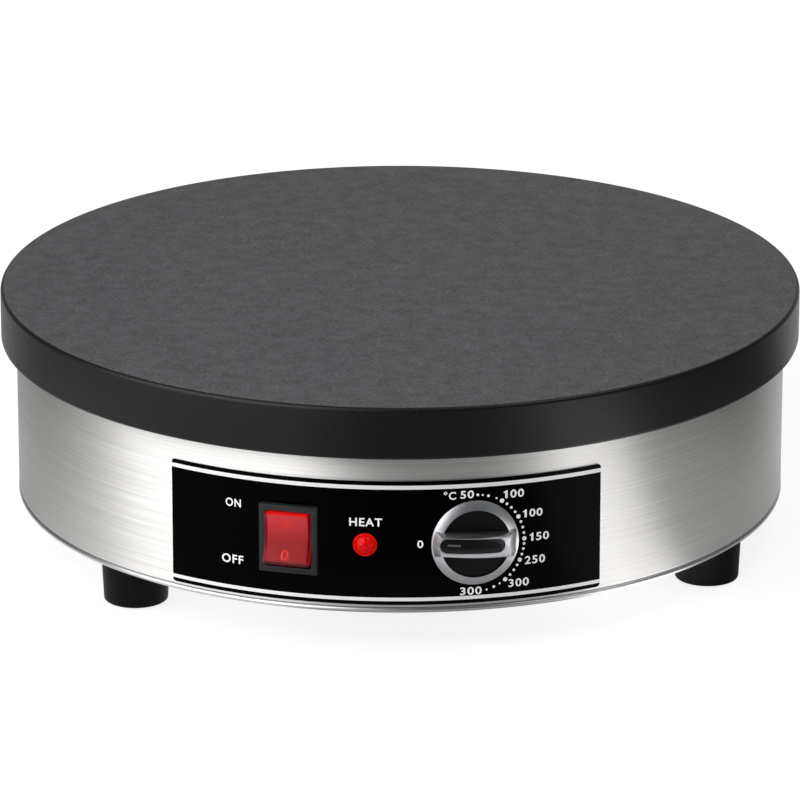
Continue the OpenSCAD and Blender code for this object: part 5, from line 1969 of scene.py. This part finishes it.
@dataclass
class Gland:
    """The cord gland at the back."""

    angle: float = 180.0
    height: float = 45.0
    hole_r: float = 9.2
    depth: float = 16.0
    collar_r: float = 12.5
    collar_h: float = 9.6
    collar_round: float = 2.0
    collar_foot: float = 0.3
    barrel_r: float = 9.0
    mouth_r: float = 5.0
    mouth_edge: float = 0.8
    seal_r: float = 6.9
    lip: float = 3.0
    # Moulded polyamide gives a satin black.
    black: Finish = MouldedPlastic("black gland polyamide", "19191a", roughness=0.45, specular=0.4)

    def build(self) -> bpy.types.Object:
        """Turns the gland with its round collar and dresses it.

        Returns:
            The gland.
        """
        high, r, foot = self.collar_h, self.collar_round, self.collar_foot
        profile = [
            (self.barrel_r, -self.depth), (self.barrel_r, 0.0), (self.collar_r - foot, 0.0),
            (self.collar_r, foot), (self.collar_r, high - r),
        ] + arc((self.collar_r - r, high - r), r, 0, 90, 6) + [
            (self.mouth_r + self.mouth_edge, high), (self.mouth_r, high - self.mouth_edge),
            (self.mouth_r, -self.lip), (self.seal_r, -self.lip), (self.seal_r, -self.depth),
        ]
        gland = settle(lathe("gland_collar", profile, 96), out_of_wall(self.angle, self.height))
        dress(smooth(gland, 35), self.black)
        return hand_over(gland, "gland_body")


# --------------------------------------------------------------------------- inner works


@dataclass
class InnerWorks:
    """Gives every CAD node that stays its own finish."""

    nodes: dict[str, bpy.types.Object]
    plan: tuple[tuple[Finish, tuple[str, ...]], ...] = (
        # Zinc plate: a dull silver-grey shine.
        (Finish("zinc plated steel", "a8aaad", roughness=0.38, metallic=1.0),
         ("element_pins", "clamp_studs", "clamp_nuts", "tie_rod", "tie_rod_nut", "tie_rod_washer",
          "base_screws", "foot_bolts", "foot_washers", "foot_nuts", "thermostat_screws", "thermostat_shaft")),
        # Aluminised sheet: a matt grey with the faint lines of its rolling.
        (BrushedSteel("aluminised sheet", "9ea1a4", roughness=0.4, metallic=1.0, dark="8d9093",
                      light="a9acaf"),
         ("clamp_bars", "heat_shield", "thermostat_bracket")),
        # A used heater's sheath: satin metal with slow bands of straw and blue.
        (HeatedSheath("heated nickel sheath", "6a6058", roughness=0.5, metallic=1.0), ("heating_element",)),
        # Steatite: chalky off-white, without a glaze.
        (Finish("unglazed steatite", "ded9cc", roughness=0.7),
         ("element_bushes", "thermostat_body", "terminal_block")),
        # Mineral fibre: chalky cream, felted where it is needled and greyer where it is pressed.
        (Fibre("needled fibre mat", "d2ccba", roughness=0.95, specular=0.2), ("insulation_blanket",)),
        (Fibre("pressed fibre gasket", "b4ad9b", roughness=0.9, specular=0.2, dark="9f9886",
               light="bfb8a6"), ("rim_gasket",)),
        # Tinned brass: a pale yellow metal with a soft shine.
        (Finish("tinned brass", "c2ab6c", roughness=0.32, metallic=1.0),
         ("switch_terminals", "thermostat_terminals", "block_screws", "earth_stud")),
        # Drawn copper: reddish and fairly bright.
        (Finish("drawn copper", "b87a55", roughness=0.3, metallic=1.0), ("thermostat_bulb", "capillary")),
        # Moulded fittings and their seal: satin black, and a duller, softer black.
        (MouldedPlastic("black polyamide", "1c1c1d", roughness=0.45),
         ("lamp_barrel", "lamp_nut", "gland_locknut", "gland_cap")),
        (MouldedRubber("seal rubber", "28282a", roughness=0.6), ("gland_seal",)),
        # A neon lamp's glass: clear, with an orange cast.
        (Finish("lamp glass", "f2b8a4", roughness=0.05, transmission=0.9, ior=1.5), ("switch_bulb",)),
        # Silicone insulation: a soft, slightly waxy colour.
        (Finish("brown silicone lead", "5a3a22", roughness=0.5), ("live_leads",)),
        (Finish("blue silicone lead", "2b4f86", roughness=0.5), ("neutral_leads",)),
        (Finish("grey silicone lead", "7c7c7e", roughness=0.5), ("lamp_leads",)),
        (Finish("green and yellow silicone lead", "5d8f38", roughness=0.5), ("earth_lead",)),
    )

    def dress(self) -> None:
        """Makes each finish once and gives it to its nodes."""
        for finish, names in self.plan:
            material = finish.make()
            for name in names:
                node = self.nodes[name]
                node.data.materials.clear()
                node.data.materials.append(material)
                LOG.info("dressed %s with %s", name, material.name)


# --------------------------------------------------------------------------- studio


@dataclass(frozen=True)
class Softbox:
    """A large soft lamp: where it stands, how big it is and how bright it looks."""

    name: str
    azimuth: float
    elevation: float
    distance: float
    wide: float
    tall: float
    radiance: float

    def build(self, target: Vector) -> None:
        """Adds the lamp, turned to the target.

        Args:
            target: the point that it lights.
        """
        data = bpy.data.lights.new(self.name, "AREA")
        data.shape = "RECTANGLE"
        data.size = self.wide
        data.size_y = self.tall
        data.energy = self.radiance * self.wide * self.tall * math.pi
        lamp = bpy.data.objects.new(self.name, data)
        stand_off(lamp, target, bearing(self.azimuth, self.elevation), self.distance)


@dataclass(frozen=True)
class Surround:
    """The white walls and dark gaps round the table that polished metal shows.

    The floor's and the sky's stops are pairs of a direction, in degrees to the right of the front, and the
    brightness there. The near stops are pairs of a distance from the middle, in metres, and the brightness.
    """

    floor_stops: Stops = (
        (-180, 0.6), (-140, 0.6), (-122, 0.52), (-104, 0.32), (-92, 0.42), (-82, 0.65), (-70, 0.85),
        (-58, 0.92), (-21, 0.96), (-8, 0.32), (0, 0.26), (18, 0.28), (29, 0.45), (41, 2.4), (51, 2.4),
        (60, 0.5), (70, 0.26), (84, 0.2), (95, 0.1), (110, 0.1), (120, 0.5), (128, 0.8), (150, 0.7),
        (180, 0.6),
    )
    sky_stops: Stops = (
        (-180, 0.5), (-150, 0.2), (-124, 0.12), (-104, 0.25), (-84, 0.7), (-70, 0.9), (-26, 0.9),
        (-12, 0.25), (0, 0.12), (30, 0.12), (60, 0.22), (96, 0.2), (122, 0.12), (140, 0.12), (152, 0.3),
        (164, 0.4), (180, 0.5),
    )
    near_stops: Stops = ((0.2, 0.35), (0.235, 0.45), (0.252, 1.0), (0.285, 1.0), (0.315, 0.0))

    def curve(self, tree: bpy.types.NodeTree, value: bpy.types.NodeSocket,
              stops: Stops) -> bpy.types.NodeSocket:
        """Looks a value up in a list of stops.

        Args:
            tree: the node tree.
            value: what is looked up.
            stops: pairs of value and brightness, in rising order.

        Returns:
            The brightness.
        """
        low, high = stops[0][0], stops[-1][0]
        peak = max(bright for _, bright in stops)
        share = add_node(tree, "ShaderNodeMapRange", {"From Min": low, "From Max": high}, {"Value": value})
        ramp = add_node(tree, "ShaderNodeValToRGB", {}, {"Fac": share.outputs[0]})
        ramp.color_ramp.interpolation = "EASE"
        ends = ramp.color_ramp.elements
        for place, bright in stops[1:-1]:
            ends.new((place - low) / (high - low)).color = (bright / peak,) * 3 + (1,)
        for end, (_, bright) in ((ends[0], stops[0]), (ends[-1], stops[-1])):
            end.color = (bright / peak,) * 3 + (1,)
        scaled = add_node(tree, "ShaderNodeMath", {"operation": "MULTIPLY", 1: peak},
                          {0: ramp.outputs["Color"]})
        return scaled.outputs[0]

    def level(self, tree: bpy.types.NodeTree, where: bpy.types.NodeSocket,
              stops: Stops) -> bpy.types.NodeSocket:
        """How bright the surround is in a direction.

        Args:
            tree: the node tree.
            where: a vector, of which x and y give the direction.
            stops: pairs of direction and brightness.

        Returns:
            The brightness.
        """
        parts = add_node(tree, "ShaderNodeSeparateXYZ", {}, {"Vector": where})
        ahead = add_node(tree, "ShaderNodeMath", {"operation": "MULTIPLY", 1: -1.0}, {0: parts.outputs["Y"]})
        turn = add_node(tree, "ShaderNodeMath", {"operation": "ARCTAN2"},
                        {0: parts.outputs["X"], 1: ahead.outputs[0]})
        degrees = add_node(tree, "ShaderNodeMath", {"operation": "DEGREES"}, {0: turn.outputs[0]})
        return self.curve(tree, degrees.outputs[0], stops)

    def near(self, tree: bpy.types.NodeTree, where: bpy.types.NodeSocket) -> bpy.types.NodeSocket:
        """The white sheet close to the object: in its shade at the drum, bright a little further out.

        Args:
            tree: the node tree.
            where: the floor point.

        Returns:
            The brightness.
        """
        flat = add_node(tree, "ShaderNodeVectorMath", {"operation": "MULTIPLY", 1: (1, 1, 0)}, {0: where})
        away = add_node(tree, "ShaderNodeVectorMath", {"operation": "LENGTH"}, {0: flat.outputs["Vector"]})
        return self.curve(tree, away.outputs["Value"], self.near_stops)


@dataclass
class Studio:
    """Camera, softboxes, world and floor."""

    distance: float = 3.2
    elevation: float = 18.813
    azimuth: float = 2.35
    target_height: float = 0.06215
    lens: float = 285.5
    world_level: float = 0.3
    floor_white: float = 0.82
    floor_size: float = 30.0
    floor_gap: float = 0.0005
    paper: str = "8c8c8c"
    mirrored_paper: str = "404040"
    surround: Surround = Surround()
    softboxes: tuple[Softbox, ...] = (
        Softbox("left softbox", -52, 30, 1.8, 2.2, 2.0, 2.4),
        Softbox("right softbox", 70, 62, 2.2, 1.2, 1.2, 2.2),
        Softbox("rear softbox", 170, 55, 2.2, 1.8, 1.2, 1.0),
    )

    @property
    def target(self) -> Vector:
        """The point that camera and softboxes look at."""
        return Vector((0, 0, self.target_height))

    def camera(self) -> None:
        """Adds the camera: a long lens, nearly level with the plate."""
        data = bpy.data.cameras.new("camera")
        data.sensor_width = 36.0
        data.lens = self.lens
        data.clip_start = 0.1
        data.clip_end = 100.0
        camera = bpy.data.objects.new("camera", data)
        stand_off(camera, self.target, bearing(self.azimuth, self.elevation), self.distance)
        bpy.context.scene.camera = camera

    def seen(self, tree: bpy.types.NodeTree, path: bpy.types.Node) -> bpy.types.NodeSocket:
        """1 for what the camera sees, straight or through glass, and 0 for the rest."""
        return add_node(tree, "ShaderNodeMath", {"operation": "MAXIMUM"},
                        {0: path.outputs["Is Camera Ray"], 1: path.outputs["Is Transmission Ray"]}).outputs[0]

    def world(self) -> None:
        """A level grey sky; the camera sees white, and metal sees the surround."""
        world = bpy.data.worlds.new("studio")
        bpy.context.scene.world = world
        world.use_nodes = True
        tree = world.node_tree
        tree.nodes.clear()
        path = add_node(tree, "ShaderNodeLightPath")
        where = add_node(tree, "ShaderNodeTexCoord").outputs["Generated"]
        sky = self.surround.level(tree, where, self.surround.sky_stops)
        shiny = add_node(tree, "ShaderNodeMix", {"data_type": "FLOAT", 2: self.world_level},
                         {0: path.outputs["Is Glossy Ray"], 3: sky})
        level = add_node(tree, "ShaderNodeMix", {"data_type": "FLOAT", 3: 1.0},
                         {0: self.seen(tree, path), 2: shiny.outputs[0]})
        back = add_node(tree, "ShaderNodeBackground", {"Color": (1, 1, 1, 1)},
                        {"Strength": level.outputs[0]})
        add_node(tree, "ShaderNodeOutputWorld", {}, {"Surface": back.outputs[0]})

    def floor(self) -> None:
        """A wide pale floor that reads as white but keeps the object's shadow."""
        deselect()
        bpy.ops.mesh.primitive_grid_add(x_subdivisions=8, y_subdivisions=8, size=self.floor_size,
                                        location=(0, 0, -self.floor_gap))
        floor = settle(name_piece(bpy.context.object, "floor"))
        material = bpy.data.materials.new("white studio floor")
        material.use_nodes = True
        tree = material.node_tree
        tree.nodes.clear()
        path = add_node(tree, "ShaderNodeLightPath")
        where = add_node(tree, "ShaderNodeTexCoord").outputs["Object"]
        white = add_node(tree, "ShaderNodeMath", {"operation": "MULTIPLY", 1: self.floor_white},
                         {0: self.seen(tree, path)})
        mirrored = add_node(tree, "ShaderNodeMath", {"operation": "MAXIMUM"}, {
            0: self.surround.level(tree, where, self.surround.floor_stops),
            1: self.surround.near(tree, where),
        })
        shine = add_node(tree, "ShaderNodeMath", {"operation": "MULTIPLY"},
                         {0: path.outputs["Is Glossy Ray"], 1: mirrored.outputs[0]})
        glow = add_node(tree, "ShaderNodeMath", {"operation": "ADD"},
                        {0: white.outputs[0], 1: shine.outputs[0]})
        paper = add_node(tree, "ShaderNodeBsdfDiffuse", {"Color": linear(self.paper)})
        dark = add_node(tree, "ShaderNodeBsdfDiffuse", {"Color": linear(self.mirrored_paper)})
        sheet = add_node(tree, "ShaderNodeMixShader", {}, {0: path.outputs["Is Glossy Ray"],
                                                           1: paper.outputs[0], 2: dark.outputs[0]})
        lit = add_node(tree, "ShaderNodeEmission", {"Color": (1, 1, 1, 1)}, {"Strength": glow.outputs[0]})
        both = add_node(tree, "ShaderNodeAddShader", {}, {0: sheet.outputs[0], 1: lit.outputs[0]})
        add_node(tree, "ShaderNodeOutputMaterial", {}, {"Surface": both.outputs[0]})
        floor.data.materials.append(material)

    def build(self) -> None:
        """Sets up the whole studio."""
        bpy.context.scene.view_settings.view_transform = "Standard"
        self.camera()
        self.world()
        self.floor()
        for softbox in self.softboxes:
            softbox.build(self.target)


# --------------------------------------------------------------------------- everything


def main() -> None:
    """Loads the frame, builds the classes in order and reports each piece."""
    logging.basicConfig(level=logging.INFO, format="%(name)s: %(message)s")
    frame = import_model()
    Studio().build()
    InnerWorks(frame["nodes"]).dress()
    panel, switch, knob = Panel(), Switch(), Knob()
    made = [Plate().build(), Drum().build(), BasePan().build(), *Feet().build()]
    film = panel.build_film()
    made += [film, panel.build_print(film)]
    made += [switch.build_frame(), switch.build_core(), switch.build_cap(), switch.build_marks()]
    made += [HeatLamp().build()]
    made += [knob.build_base(), knob.build_trim(), knob.build_inlay(), knob.build_pointer()]
    made += [Gland().build()]
    for piece in made:
        LOG.info("made %s with %d faces", piece.name, len(piece.data.polygons))


if __name__ == "__main__":
    main()
